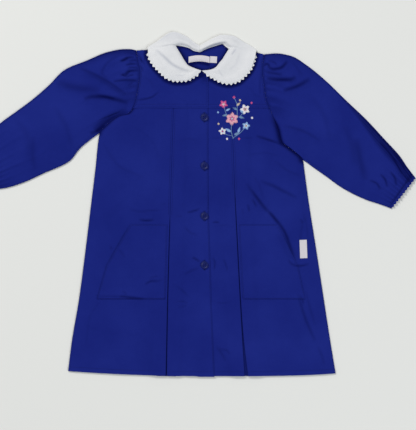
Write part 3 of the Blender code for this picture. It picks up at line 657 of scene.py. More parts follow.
def makeFront(side):
    levels = edgeLevels(side, 0.0, body["yokeSeam"] + 2.5, frontPanels["step"])[::-1]
    outerCount = int((sideOut(side, 0.0) - 84) / frontPanels["step"])
    reach = frontPanels["pleatReach"]
    rows, paintedShades = [], []
    for level in levels:
        edge, pleat = sideOut(side, level), pleatOut(side, level)
        lap = -readTable(body["laps"][side], level)
        outer = mix(edge, pleat + reach, np.linspace(0, 1, outerCount))[:-1]
        inner = mix(pleat - reach, lap, np.linspace(0, 1, frontPanels["innerPoints"]))[1:]
        halfGap = readTable(body["pleats"][side], level, 2)
        section = np.array(pleatSection(halfGap))
        outs = np.concatenate([outer, pleat + section[:, 0], inner])
        ys = lowered(side, outs, level)
        heights, paintedShade = frontHeight(side, outs, ys)
        middle = slice(len(outer), len(outer) + len(section))
        ys -= frontPanels["hemDip"][side] * fall(outs, 6.0, 20.0) * fall(level, 0, 40)
        ys[middle] += np.where(section[:, 1] < 0.5, frontPanels["peek"][side], 0.0) * (level < 6)
        tucked = body["frontLevel"] + section[:, 1]
        onTop = section[:, 1] > 2 * body["pleatLayer"] - 0.01
        heights[middle] = np.where(onTop & (np.abs(section[:, 0]) > 4.5), heights[middle], tucked)
        # painted shade inside the open pleat's gap
        near = np.abs(section[:, 0]) < halfGap + 0.8
        gapShade = frontPanels["pleatShade"] * fall(level, *body["shut"][side])
        paintedShade[middle] = np.where(near & (section[:, 1] < 3.4), gapShade, 0.0)
        heights -= frontPanels["tuck"] * ease(level, body["yokeSeam"] - 1.5, body["yokeSeam"] + 1.0)
        rows.append(joined(outward[side] * outs, ys, heights))
        paintedShades.append(paintedShade)
    panel = makeShell(f"{side}Front", rows, body["wall"], clothFinish, paintedShades)
    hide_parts(f"front_{side}")


backPanel = {
    "step": 2.9, "high": 650.0, "wall": 0.7, "cut": (0.545, 0.665), "area": 0.300,
    "waves": [(0.12, 70.0, 21), (0.05, 18.0, 22)], "loft": 0.05, "most": 0.22,
    "neckShade": {"right": 1.0, "left": 0.8}, "neckReach": 6.6,
    "shadows": [  # line, darkness, reach: under the collar's roll and under the neck label
        (body["backNeck"], 0.9, 3.6), ([(-27, 624.6), (-11, 627.2), (9, 623.0)], 1.2, 3.0),
    ],
}


def makeBack():
    def topLine(xs):
        left = np.array([(-out, y) for out, y in body["shoulders"]["right"][::-1]])
        right = np.array(body["shoulders"]["left"])
        line = np.vstack([left, body["backNeck"], right])
        line = line[np.argsort(line[:, 0])]
        return np.interp(xs, line[:, 0], line[:, 1])

    columns = np.linspace(0, 1, int(540 / backPanel["step"]))
    tops = topLine(mix(-135.0, 120.0, columns))
    levels = edgeLevels("right", 0.0, backPanel["high"], backPanel["step"])
    shadows = list(backPanel["shadows"])
    for side, way in outward.items():
        line = [(way * out, height) for height, out in body["necks"][side][1:]]
        shadows.append((line, backPanel["neckShade"][side], backPanel["neckReach"]))
    rows, paintedShades = [], []
    for level in levels:
        share = level / backPanel["high"]
        heights = mix(np.full_like(tops, level), share * tops, share ** 3)
        edgeRight, edgeLeft = -sideOut("right", heights), sideOut("left", heights)
        xs = mix(edgeRight, edgeLeft, columns)
        ys = np.where(xs < 0, lowered("right", xs, heights), lowered("left", xs, heights))
        air = ripples(xs, ys, backPanel["waves"]) + backPanel["loft"]
        zs = body["backLevel"] + np.clip(air, 0, backPanel["most"]) + collarLift(xs, ys)
        rows.append(joined(xs, ys, zs)[::-1])
        # painted shade over the inside seen through the neck opening, and painted shadows along the
        # collar's roll, under the neck label and along the front neck edges
        paintedShade = 0.2 * ease(ys, 596, 606) * fall(np.abs(xs), 62, 70)
        for line, dark, reach in shadows:
            paintedShade += dark * bell(nearestOn(xs, ys, line)[0], reach)
        paintedShades.append(paintedShade[::-1])
    back = makeShell("backPanel", rows, backPanel["wall"], clothFinish, paintedShades)
    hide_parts("back")


yokes = {
    "step": 2.0, "waves": [(0.5, 60.0, 31), (0.14, 17.0, 32)], "loft": 1.0, "firm": 3.0,
    "overSeam": 0.75, "shoulderDrop": 0.8, "seamDrop": 0.5, "puckers": (0.12, 7.5),
    "underCollar": 0.95, "shadeReach": (4.5, 11.0), "across": 76,
    "cut": {"right": (0.150, 0.130), "left": (0.160, 0.125)}, "area": {"right": 0.0145, "left": 0.0150},
    "folds": {
        "right": [
            ([(-137, 552), (-121, 553), (-105, 557), (-90, 568)], 1.4, 7, 8, 1.3, 1.8),
            ([(-128, 600), (-108, 590), (-98, 574)], 0.8, 8, 8, 0.3, 1.8),
            ([(-60, 560), (-30, 548), (-12, 552)], 0.5, 9, 9, 0.2, 1.8),
            ([(-132, 642), (-126, 635), (-125, 626)], 0.9, 4, 5, 1.1, 1.6),
            ([(-122, 646), (-118, 638), (-120, 628)], 0.8, 4, 4, 1.0, 1.5),
            ([(-130, 636), (-124, 630), (-117, 622)], 0.6, 3, 3, 0.9, 1.4),
            ([(-131, 622), (-125, 617), (-121, 608)], 0.6, 3, 3, 0.9, 1.4),
        ],
        "left": [
            ([(118, 612), (112, 590), (112, 562)], 0.8, 8, 7, 0.6, 1.8),
            ([(126, 556), (104, 560), (92, 576)], 0.7, 8, 8, 0.3, 1.8),
        ],
    },
}


def yokeHeight(side, out, y):
    x, seam = outward[side] * out, body["yokeSeam"]
    folds, paintedShade = pressFolds(x, y, yokes["folds"][side])
    fromEdge = sideOut(side, y) - out
    swell = ripples(x, y, yokes["waves"]) + yokes["loft"]
    loose = ease(fromEdge, 0, 16) * ease(y, seam, seam + 12) * fall(y, 628, 645)
    air = settle((swell + folds) * loose, yokes["firm"])
    overSeam = yokes["overSeam"] * fall(y, seam + 5.0, seam + 9.0)
    shoulderDrop = yokes["shoulderDrop"] * ease(y, 640, 652) * ease(out, 60, 90)
    seamDrop = yokes["seamDrop"] * fall(fromEdge, 0, 4.5)
    rise, wave = yokes["puckers"]
    puckers = rise * np.sin(2 * math.pi * x / wave) * bell(y - seam - 10, 6)
    # painted shade along the armhole seam
    atSeam = 0.6 * bell(fromEdge, 1.7)
    paintedShade = paintedShade * ease(fromEdge, 0, 5) * ease(y, seam, seam + 8)
    # painted shadow: the collar stands over the yoke and its edge is darkened below it
    frontRows = collar["rows"][side][:collar["shoulderRow"] + 1]
    edge = alongLine([row[1] for row in frontRows], np.linspace(0, 1, 40))
    atSeam += yokes["underCollar"] * fall(nearestOn(out, y + 2.0, edge)[0], *yokes["shadeReach"])
    # painted shade at the throat, between the collar tips
    atSeam += 0.7 * bell(np.hypot(x - 2.0, (y - 600.0) * 0.8), 9.0)  # at the throat
    height = frontBase(side, out, y) + air + overSeam + puckers - seamDrop - shoulderDrop
    return height, paintedShade + atSeam


def makeYoke(side):
    seam, shoulder = body["yokeSeam"] + 0.2, body["shoulder"][side]
    neck = body["necks"][side]
    straight = neck[-3][0]  # below this height the two edges share their heights
    levels = edgeLevels(side, seam, shoulder, yokes["step"])
    inner = np.interp(
        levels, [seam, straight, (straight + shoulder) / 2, shoulder],
        [seam, straight, neck[-2][0], neck[-1][0]],
    )
    shares = np.linspace(0, 1, yokes["across"])
    shoulders = np.array(body["shoulders"][side])
    rows, paintedShades = [], []
    for level, innerLevel in zip(levels, inner):
        start = sideOut(side, level)
        if innerLevel <= neck[0][0]:
            end = -readTable(body["laps"][side], innerLevel)
        else:
            end = np.interp(innerLevel, [row[0] for row in neck], [row[1] for row in neck])
        outs = mix(start, end, shares)
        ys = mix(level, innerLevel, shares)
        topY = np.interp(outs, shoulders[:, 0], shoulders[:, 1])
        atTop = ease(level, shoulder - 14, shoulder)
        ys = mix(ys, np.where(outs > shoulders[0, 0], topY, ys), atTop)
        heights, paintedShade = yokeHeight(side, outs, ys)
        rows.append(joined(outward[side] * outs, ys, heights))
        paintedShades.append(paintedShade)
    yoke = makeShell(f"{side}Yoke", rows[::-1], body["wall"], clothFinish, paintedShades[::-1])
    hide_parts(f"yoke_{side}")


sleeves = {
    "tops": {
        "right": [
            (148.0, 653.6), (158.6, 653.6), (191.0, 648.2), (234.4, 630.8), (278.0, 612.4), (310.4, 581.0),
            (343.0, 552.8), (375.4, 528.8), (408.0, 505.0), (440.0, 475.0), (462.0, 448.0),
        ],
        "left": [
            (144.8, 645.0), (173.8, 640.0), (205.0, 621.6), (240.0, 593.4), (287.4, 547.8), (323.6, 513.6),
            (359.6, 474.8), (392.6, 438.4), (404.4, 420.6), (423.0, 396.0),
        ],
    },
    "seams": {
        "right": [
            (247.4, 455.0), (269.2, 429.0), (321.2, 405.0), (364.6, 385.6), (397.2, 376.0), (418.0, 373.0),
        ],
        "left": [
            (217.4, 417.4), (241.6, 400.4), (278.0, 375.0), (325.4, 352.0), (348.6, 344.4), (374.8, 335.0),
        ],
    },
    "loft": [  # share along the sleeve, height
        (0.0, 0.0), (0.03, 1.2), (0.08, 4.0), (0.15, 5.2), (0.3, 4.4), (0.6, 3.6), (0.88, 3.0), (1.0, 1.4),
    ],
    # gathers at the head: share down the armhole, reach along the sleeve, height, width
    "headGathers": {
        "right": [
            (0.02, 0.10, 1.6, 0.016), (0.07, 0.16, 2.4, 0.018), (0.12, 0.12, 2.0, 0.014),
            (0.165, 0.2, 2.8, 0.02), (0.22, 0.14, 2.2, 0.016), (0.27, 0.2, 2.4, 0.022),
            (0.33, 0.10, 1.2, 0.016), (0.39, 0.12, 1.3, 0.02), (0.46, 0.08, 0.9, 0.018),
        ],
        "left": [
            (0.02, 0.08, 1.4, 0.014), (0.06, 0.12, 2.0, 0.016), (0.11, 0.18, 2.8, 0.02),
            (0.165, 0.1, 2.0, 0.014), (0.21, 0.2, 2.6, 0.02), (0.27, 0.12, 2.0, 0.016),
            (0.33, 0.22, 2.4, 0.022), (0.42, 0.12, 1.4, 0.02),
        ],
    },
    # gathers above the cuff: share across, reach back along the sleeve, height, width
    "cuffGathers": [
        (0.05, 0.10, 1.6, 0.024), (0.13, 0.18, 2.4, 0.03), (0.22, 0.12, 1.9, 0.026),
        (0.30, 0.22, 2.6, 0.034), (0.395, 0.11, 1.8, 0.026), (0.475, 0.2, 2.4, 0.032),
        (0.565, 0.13, 2.0, 0.028), (0.65, 0.24, 2.6, 0.034), (0.74, 0.12, 1.9, 0.026),
        (0.83, 0.18, 2.2, 0.03), (0.92, 0.1, 1.5, 0.024),
    ],
    "folds": {
        "right": [
            ([(-139, 638), (-152, 636), (-166, 629)], 1.8, 6, 7, 1.9, 2.2),
            ([(-136, 624), (-144, 624), (-156, 621)], 1.4, 5, 6, 1.7, 2.0),
            ([(-134, 631), (-144, 630), (-150, 627)], 0.9, 4, 4, 1.2, 1.5),
            ([(-132, 616), (-144, 617), (-153, 614)], 1.0, 4, 4, 1.2, 1.5),
            ([(-130, 610), (-150, 609), (-158, 603), (-168, 601)], 1.8, 6, 7, 1.9, 2.2),
            ([(-169, 629), (-160, 631), (-151, 636)], 0.8, 4, 5, 1.4, 1.6),
            ([(-161, 645), (-150, 647), (-140, 643)], 0.6, 4, 4, 1.0, 1.6),
            ([(-164, 603), (-158, 599), (-153, 603), (-147, 609)], 0.8, 3, 4, 1.6, 1.5),
            ([(-156, 596), (-148, 600), (-140, 602)], 0.8, 4, 4, 1.2, 1.5),
            ([(-153, 580), (-147, 583), (-142, 587)], 0.5, 3, 3, 0.8, 1.5),
            ([(-134, 591), (-156, 591), (-181, 588)], 1.8, 6, 8, 1.7, 2.4),
            ([(-172, 640), (-196, 622), (-204, 604), (-192, 596)], 1.4, 9, 7, 0.7, 2.6),
            ([(-250, 616), (-222, 604), (-192, 588), (-156, 563)], 3.0, 13, 9, 1.25, 3.0),
            ([(-240, 606), (-206, 590), (-160, 560)], 1.0, 8, 8, 0.6, 3.0),
            ([(-240, 553), (-220, 558), (-198, 557), (-174, 552), (-152, 546)], 3.0, 10, 12, 1.9, 4.2),
            ([(-214, 562), (-196, 558), (-178, 553)], 1.0, 8, 6, 0.8, 2.6),
            ([(-296, 588), (-256, 576), (-208, 570)], 2.4, 15, 12, 1.0, 7.5),
            ([(-341, 480), (-342, 446), (-338, 412)], 1.8, 8, 10, 0.6, 4.6),
            ([(-218, 489), (-202, 502), (-184, 514), (-166, 521), (-150, 527)], 2.0, 4, 10, 4.4, 7.6),
            ([(-228, 484), (-212, 490), (-196, 500)], 1.2, 6, 8, 1.6, 4.0),
            ([(-300, 540), (-276, 500), (-262, 452)], 1.6, 14, 12, 0.4, 5.0),
            ([(-372, 512), (-350, 470), (-352, 430)], 1.4, 12, 12, 0.3, 5.0),
        ],
        "left": [
            ([(126, 620), (138, 613), (152, 615), (168, 630)], 3.0, 7, 9, 3.0, 2.8),
            ([(118, 618), (126, 624), (132, 619)], 0.8, 3, 3, 1.8, 1.7),
            ([(124, 606), (140, 604), (156, 602)], 1.4, 6, 6, 1.2, 2.4),
            ([(124, 595), (150, 592), (172, 592), (184, 597)], 2.4, 8, 7, 2.6, 3.8),
            ([(158, 570), (184, 578), (212, 594)], 2.2, 8, 9, 1.9, 3.4),
            ([(170, 632), (186, 616), (196, 600)], 1.4, 9, 8, 0.5, 3.2),
            ([(128, 630), (138, 628), (146, 622)], 1.0, 4, 5, 1.2, 1.8),
            ([(304, 476), (312, 432), (322, 392)], 2.0, 12, 12, 0.9, 6.5),
            ([(280, 500), (296, 460), (300, 420)], 1.4, 10, 12, 0.5, 6.0),
            ([(212, 560), (240, 520), (252, 470)], 1.6, 14, 12, 0.3, 5.0),
            ([(158, 500), (196, 490), (232, 470)], 1.8, 10, 9, 0.7, 3.0),
            ([(324, 512), (352, 480), (380, 448), (402, 414)], 2.2, 9, 7, 2.0, 2.6),
            ([(350, 470), (376, 438), (396, 404)], 1.4, 6, 6, 1.2, 2.0),
            ([(330, 392), (346, 384), (352, 372)], 1.4, 5, 5, 1.4, 2.2),
            ([(352, 404), (362, 392), (366, 378)], 1.5, 5, 5, 1.5, 2.2),
            ([(372, 408), (382, 394), (384, 380)], 1.4, 5, 5, 1.4, 2.2),
        ],
    },
    "puffShade": {"right": 0.5, "left": 0.28}, "roll": {"right": 0.0, "left": 1.0},
    "rollShade": {"right": 0.0, "left": 0.8},
    "bulge": 9.0, "bulgeAt": 0.72, "bulgeWidth": 0.17, "firm": 2.5, "turnSteps": 6,
    "across": 96, "casing": 10.0, "scallops": 11, "scallopDepth": 0.9, "rollReach": 3.4,
    "waves": [(0.7, 75.0, 41), (0.2, 22.0, 42)], "mouthTuck": 0.45, "rollRise": (1.1, 2.2),
    "cut": {"right": (0.340, 0.420), "left": (0.340, 0.380)}, "area": {"right": 0.118, "left": 0.104},
}


def sleeveShade(side, along, across, inMillimetres, span, casing, gathers, rolled):
    # painted shade: darkest at the seams, between the gathers, and where the cloth turns away along the top
    # fold
    shade = (0.5 + 0.3 * ease(across, 0.6, 0.8)) * bell(inMillimetres, 2.2)
    shade += 1.1 * rolled * bell(inMillimetres, 4.4) + 0.25 * bell(inMillimetres - casing, 1.6)
    fromTop, fromSeam = across * span, (1 - across) * span
    shade += 0.55 * bell(fromTop, 2.6) + 0.45 * bell(fromSeam, 1.8)
    shade += sleeves["puffShade"][side] * fall(along, 0.08, 0.42) * fall(fromTop, 1.0, 15.0)
    # painted shade in a broad band with lighter streaks, where the cloth rolls away above the left cuff
    broad = sleeves["rollShade"][side] * ease(along, 0.36, 0.66) * fall(along, 0.975, 1.0)
    reach = mix(5.0, 27.0, ease(along, 0.42, 0.8))
    streaks = 0.82 + 0.18 * np.sin(fromTop * 1.5 + 3.0 * along)
    shade += broad * streaks * fall(fromTop, 0.45 * reach, reach)
    valleys = (0.30 * bell(along, 0.10) + 0.34 * bell(1 - along, 0.09)) * fall(gathers, 0.25, 1.5)
    valleys = valleys * ease(across, 0.0, 0.07) * fall(across, 0.93, 1.0) * ease(along, 0.0, 0.01)
    return shade + valleys * (1 - ease(across, 0.46, 0.6) * fall(along, 0.5, 0.6))


def makeSleeve(side):
    heights = np.linspace(body["shoulder"][side], body["underarm"][side], 300)
    mouth = joined(sideOut(side, heights) + 0.3, heights + 0.2)
    topLine = np.vstack([mouth[:1], sleeves["tops"][side]])
    seamLine = np.vstack([mouth[-1:], sleeves["seams"][side]])
    length = lineLengths(topLine)[-1]
    across = np.linspace(0, 1, sleeves["across"])
    shares = across[:, None]
    mouthShares = lineLengths(mouth) / lineLengths(mouth)[-1]
    mouthPoints = joined(*[np.interp(across, mouthShares, mouth[:, k]) for k in (0, 1)])
    alongs = np.unique(np.concatenate([
        np.linspace(0, 0.2, 44), np.linspace(0.2, 0.84, 84), np.linspace(0.84, 1, 34),
    ]))
    topEnds, seamEnds = alongLine(topLine, alongs), alongLine(seamLine, alongs)
    cuffStart, cuffEnd = topEnds[-1], seamEnds[-1]
    casing = 1 - sleeves["casing"] / length
    foldHalf = body["layer"] / 2
    rows, paintedShades = [], []
    for along, topEnd, seamEnd in zip(alongs, topEnds, seamEnds):
        # straight across, then bent at the armhole as the mouth is
        plan = mix(topEnd, seamEnd, shares) + mix(mouthPoints, mix(cuffStart, cuffEnd, shares), along)
        plan -= mix(mix(mouth[0], mouth[-1], shares), mix(cuffStart, cuffEnd, shares), along)
        bulge = sleeves["bulge"] * bell(across - sleeves["bulgeAt"], sleeves["bulgeWidth"])
        plan[:, 1] += bulge * ease(along, 0.0, 0.06) * fall(along, 0.2, 0.7)
        # the edge of the elastic hem runs in small scallops
        downTop = (cuffStart - topEnds[-8]) / np.linalg.norm(cuffStart - topEnds[-8])
        waves = np.sin(2 * math.pi * sleeves["scallops"] * across + 0.6)
        scallops = sleeves["scallopDepth"] * ease(along, casing, 1.0) * waves
        plan += downTop * scallops[:, None]
        # below the arm the sleeve rolls a little over the body
        rolled = ease(across, 0.50, 0.66) * fall(across, 0.96, 1.0) * sleeves["roll"][side]
        atMouth = fall(along, 0.0, 0.03)
        downSeam = (seamEnds[40] - seamEnds[0]) / np.linalg.norm(seamEnds[40] - seamEnds[0])
        plan -= downSeam * (sleeves["rollReach"] * rolled * atMouth)[:, None]
        xs = outward[side] * plan[:, 0]
        edges = ease(across, 0.0, 0.07) * fall(across, 0.93, 1.0)
        loft = gentle(*zip(*sleeves["loft"]), along) * np.sin(math.pi * across) ** 0.55
        gathers = np.zeros_like(across)
        for at, reach, rise, width in sleeves["headGathers"][side]:
            spread = width * (1 + 3.5 * along)
            ahead = rise * ease(along, 0.0, 0.02) * bell(along, reach)
            gathers += ahead * bell(across - at - 0.25 * along, spread)
        back = 1 - along
        for at, reach, rise, width in sleeves["cuffGathers"]:
            pinch = 0.55 + 0.45 * (abs(along - casing) > 0.012)
            gathers += pinch * rise * bell(back, reach) * bell(across - at, width)
        folds, paintedShade = pressFolds(xs, plan[:, 1], sleeves["folds"][side])
        swell = ripples(xs, plan[:, 1], sleeves["waves"])
        pinched = 1 - 0.8 * bell((along - casing) * length, 2.0)
        free = ease(along, 0.0, 0.05) * (1 - 0.7 * ease(along, 0.86, 0.97))
        air = (loft + (swell + folds) * free + gathers) * edges
        air = settle(air * pinched, sleeves["firm"])
        seamDrop = 0.5 * fall(across, 0.965, 1.0) - 0.5
        headDrop = -sleeves["mouthTuck"] * fall(along, 0.0, 0.012) * (1 - rolled)
        atSeam, beyond = sleeves["rollRise"]
        headDrop += rolled * (atSeam * atMouth + beyond * bell(along - 0.025, 0.03))
        inward = (seamEnd - topEnd) / np.linalg.norm(seamEnd - topEnd)
        edge = plan[0] + inward * (foldHalf + body["wall"] / 2)
        under = joined(plan[:0:-1, 0], plan[:0:-1, 1], np.full(len(across) - 1, body["backLevel"]))
        turned = []
        for angle in np.linspace(0, math.pi, sleeves["turnSteps"] + 1)[:-1]:
            height = body["backLevel"] + foldHalf * (1 - math.cos(angle))
            turned.append((*(edge - inward * foldHalf * math.sin(angle)), height))
        over = joined(plan[:, 0], plan[:, 1], body["frontLevel"] + air + seamDrop + headDrop)
        over[0, :2] = edge
        row = np.vstack([under, turned, over])
        row[:, 0] *= outward[side]
        rows.append(row)
        # painted shade from the folds, faded at the edges, plus the sleeve's painted shade
        paintedShade = paintedShade * ease(across, 0.0, 0.07) * fall(across, 0.985, 1.0) * ease(along, 0.0, 0.015)
        span = np.linalg.norm(seamEnd - topEnd)
        paintedShade += sleeveShade(side, along, across, along * length, span, casing * length, gathers, rolled)
        paintedShades.append(np.concatenate([np.zeros(len(under) + len(turned)), paintedShade]))
    sleeve = makeShell(f"{side}Sleeve", rows, body["wall"], clothFinish, paintedShades)
    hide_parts(f"sleeve_{side}")


collar = {
    # from the front tip to the middle of the back: neck edge, outer edge, height of the roll, and
    # where the collar falls behind the shoulders the end of the hidden part
    "rows": {
        "right": [
            ((5.6, 610.0), (7.6, 606.6), 0.6, None), ((14.0, 612.8), (18.8, 599.4), 2.0, None),
            ((23.0, 616.4), (36.0, 591.2), 3.4, None), ((31.0, 620.0), (55.0, 590.4), 4.6, None),
            ((38.4, 629.0), (71.6, 594.6), 5.0, None), ((45.0, 640.0), (87.6, 608.2), 5.0, None),
            ((51.0, 650.0), (101.8, 624.0), 5.0, None), ((54.8, 656.0), (110.6, 641.0), 4.8, None),
            ((57.2, 661.4), (112.0, 652.6), 4.6, (108.5, 645.0)),
            ((49.0, 660.3), (92.0, 668.0), 4.6, (97.0, 634.0)),
            ((40.6, 659.0), (62.0, 686.0), 3.4, (74.0, 617.0)),
            ((29.0, 655.5), (34.0, 676.0), 2.4, (42.0, 612.0)),
            ((20.4, 650.1), (21.0, 665.6), 1.8, (26.0, 612.0)),
            ((8.5, 647.6), (8.5, 658.2), 1.2, (10.2, 612.0)),
        ],
        "left": [
            ((-3.6, 609.6), (0.4, 606.0), 0.6, None), ((10.6, 611.4), (19.2, 595.8), 2.0, None),
            ((19.0, 614.0), (32.8, 588.6), 3.4, None), ((25.0, 618.0), (49.6, 585.2), 4.6, None),
            ((31.0, 626.0), (66.4, 588.8), 5.0, None), ((37.0, 633.0), (79.8, 598.6), 5.0, None),
            ((42.0, 641.0), (92.6, 613.4), 5.0, None), ((46.4, 648.0), (99.6, 630.6), 4.8, None),
            ((49.4, 653.4), (103.6, 648.0), 4.6, (100.0, 640.5)),
            ((43.3, 658.7), (78.8, 666.0), 4.6, (84.0, 624.0)),
            ((37.2, 664.1), (57.8, 678.0), 3.4, (64.0, 614.0)),
            ((24.0, 660.3), (36.0, 680.0), 2.6, (36.0, 612.0)),
            ((10.6, 656.1), (20.0, 674.0), 2.0, (16.0, 612.0)),
            ((-8.2, 647.7), (-8.2, 658.5), 1.2, (-7.0, 612.0)),
        ],
    },
    "folds": {
        "right": [
            ([(-96, 652), (-78, 636), (-64, 623), (-48, 614), (-30, 608)], 1.2, 8, 6, 1.1, 2.6),
            ([(-84, 624), (-66, 612), (-46, 607)], 1.0, 6, 6, 0.0, 2.0),
            ([(-58, 601), (-46, 600), (-36, 602)], 0.6, 4, 4, 0.6, 1.4),
            ([(-100, 636), (-92, 622), (-80, 612)], 0.5, 6, 6, 0.0, 2.0),
        ],
        "left": [
            ([(64, 654), (60, 648), (55, 641)], 0.8, 4, 5, 0.9, 1.8),
            ([(86, 640), (80, 618), (62, 604)], 0.9, 9, 9, 0.0, 2.0),
            ([(28, 612), (34, 604), (38, 596)], 0.6, 4, 4, 0.5, 1.6),
            ([(70, 646), (66, 626), (50, 610)], 0.7, 8, 7, 0.3, 2.6),
        ],
    },
    "crestAt": 0.2, "wall": 1.1, "acrossCount": 40, "proud": 2.6, "hidden": 0.5, "backTop": 4.4,
    "turn": (22, 45, 67, 90, 112, 135, 158), "hiddenPoints": 14,
    "waves": [(0.3, 30.0, 51), (0.12, 12.0, 52)], "clear": 0.25,
    "shoulderRow": 8,  # from this row on the collar turns down behind the shoulder
    "arch": {"at": 0.16, "width": 0.13, "depth": 1.0, "shade": 0.75},
    "rearShade": {"right": (0.12, 0.42, 0.6), "left": (0.06, 0.5, 0.7)},  # darkness, from, to
    "cut": (0.085, 0.230), "area": 0.0125,
}


def underCollar(side, out, y):
    if side == "right":
        return frontBase("right", out, y) + collar["clear"]
    lapped = body["frontLevel"] + body["layer"] * fall(out, 4, 32) + collarLift(out, y)
    return np.maximum(lapped, frontBase("left", out, y)) + collar["clear"]


def makeCollar(side):
    table, turnsAt = collar["rows"][side], collar["shoulderRow"]
    count = np.arange(len(table))
    fine = np.unique(np.concatenate([
        np.linspace(0, 2, 30), np.linspace(2, turnsAt, 80), np.linspace(turnsAt, len(table) - 1, 60),
    ]))

    def lineOf(pick, rows=count):
        values = np.array([pick(table[index]) for index in rows], float)
        return joined(*[gentle(rows, values[:, k], fine) for k in (0, 1)])

    necks, edges = lineOf(lambda row: row[0]), lineOf(lambda row: row[1])
    crests = gentle(count, [row[2] for row in table], fine)
    behinds = lineOf(lambda row: row[3], count[turnsAt:])
    shares = np.linspace(0, 1, collar["acrossCount"])
    hidden, backTop = collar["hidden"], collar["backTop"]
    rows, paintedShades = [], []
    for at, neck, edge, crest, behind in zip(fine, necks, edges, crests, behinds):
        flat = mix(neck, edge, shares[:, None])
        out, y = flat[:, 0], flat[:, 1]
        width = np.linalg.norm(edge - neck)
        roll = shares / collar["crestAt"]
        rise = crest * roll * np.exp(1 - roll) * (1 - 0.7 * shares)
        overTrim = fall(width * (1 - shares), 10, 18)
        proud = collar["proud"] * ease(shares, 0.25, 0.95) * ease(at, 0.3, 2.0) * fall(at, 6.8, 8.4)
        front = underCollar(side, out, y) + body["layer"] * (1 + overTrim) + rise + proud
        atNeck = underCollar(side, neck[:1], neck[1:])[0] + body["layer"]
        turnOff = mix(atNeck, backTop, ease(shares, 0.0, 0.5)) + rise
        backRise = 1.25 * crest * ease(shares, 0.0, 0.3) * fall(shares, 0.4, 1.0)
        rear = mix(hidden + body["layer"], backTop, ease(shares, 0.0, 0.5)) + backRise
        height = mix(front, turnOff, ease(at, 7.4, 8.4))
        height = mix(height, rear, ease(at, 8.0, 9.0))
        x = outward[side] * out
        folds, paintedShade = pressFolds(x, y, collar["folds"][side])
        calm = ease(shares, 0.0, 0.15) * fall(shares, 0.9, 1.0)
        height = height + np.maximum(folds + ripples(x, y, collar["waves"]), -0.9) * calm
        # the rear of the collar: a band of painted shade over the roll, and on the wearer's left a hollow
        # arch, sunk and darkened with painted shade
        dark, start, end = collar["rearShade"][side]
        paintedShade += dark * ease(at, 8.6, 9.6) * fall(at, 12.4, 13.0) * ease(shares, start, end)
        if side == "left":
            facts = collar["arch"]
            arch = bell(shares - facts["at"], facts["width"])
            arch *= ease(at, 10.0, 10.8) * fall(at, 12.5, 13.0)
            height -= facts["depth"] * arch
            paintedShade += facts["shade"] * arch
        row = [(*point, z) for point, z in zip(flat, height)]
        rowPaintedShade = list(paintedShade)
        if at >= turnsAt:
            inward = (behind - edge) / np.linalg.norm(behind - edge)
            radius = (row[-1][2] - hidden) / 2
            for angle in np.radians(collar["turn"]):
                turned = edge - inward * radius * math.sin(angle)
                row.append((*turned, hidden + radius * (1 + math.cos(angle))))
            for share in np.linspace(0, 1, collar["hiddenPoints"]):
                row.append((*mix(edge, behind, share), hidden))
            rowPaintedShade += [0.0] * (len(row) - len(rowPaintedShade))
        row = np.array(row)
        row[:, 0] *= outward[side]
        rows.append(row)
        paintedShades.append(rowPaintedShade)
    half = makeShell(f"{side}Collar", rows, collar["wall"], collarFinish, paintedShades)
    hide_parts(f"collar_{side}")


braid = {
    "teeth": 16, "perTooth": 12, "inside": 4.0, "valley": 0.5, "peak": 4.2, "wall": 1.0,
    "start": 0.03, "end": 0.955, "across": 6, "dome": 0.35, "toothDome": 0.3,
    "cut": (0.155, 0.010), "area": 0.00105,
}


def makeBraid(side):
    # zigzag braid that peeks out from under the collar's outer edge
    outer = np.array([row[1] for row in collar["rows"][side][:collar["shoulderRow"] + 1]], float)
    steps = braid["teeth"] * braid["perTooth"] + 1
    shares = np.linspace(braid["start"], braid["end"], steps)
    middle = alongLine(outer, shares)
    ahead = alongLine(outer, np.clip(shares + 0.01, 0, 1)) - alongLine(outer, shares - 0.01)
    sideways = joined(ahead[:, 1], -ahead[:, 0]) / np.linalg.norm(ahead, axis=1)[:, None]
    phase = (np.arange(steps) / braid["perTooth"]) % 1.0
    tooth = 1 - np.abs(2 * phase - 1)
    reach = braid["valley"] + (braid["peak"] - braid["valley"]) * tooth
    rows = []
    for across in np.linspace(0, 1, braid["across"]):
        spot = middle + sideways * (mix(-braid["inside"], reach, across))[:, None]
        stand = collar["proud"] * ease(shares, 0.04, 0.25) * fall(shares, 0.76, 0.9)
        stand = stand - 0.5 * ease(shares, 0.88, 0.97)
        base = underCollar(side, spot[:, 0], spot[:, 1]) + body["layer"] + stand
        dome = braid["dome"] * math.sin(math.pi * across)
        dome = dome + braid["toothDome"] * tooth * across * (1 - across) * 4
        rows.append(joined(outward[side] * spot[:, 0], spot[:, 1], base + dome))
    strip = makeShell(f"{side}Braid", rows, braid["wall"], braidFinish, cover=False)
    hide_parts(f"collar_trim_{side}")


pockets = {
    "bottom": 154.0, "mouthLow": 221.0, "top": 303.0, "fromPleat": 5.0, "step": 2.6, "across": 52,
    "reach": {"right": (214.0, 194.0, 147.0), "left": (202.0, 187.0, 146.0)},
    "gape": {"right": 0.5, "left": 4.2}, "gapeReach": 11.0, "sewn": 0.4, "puff": 0.5,
    "edgeShade": {"right": (0.4, 0.04, 0.0), "left": (0.28, 0.2, 0.03)},  # at the bottom, top, sides
    "cut": (0.135, 0.150), "area": {"right": 0.0155, "left": 0.0140},
}


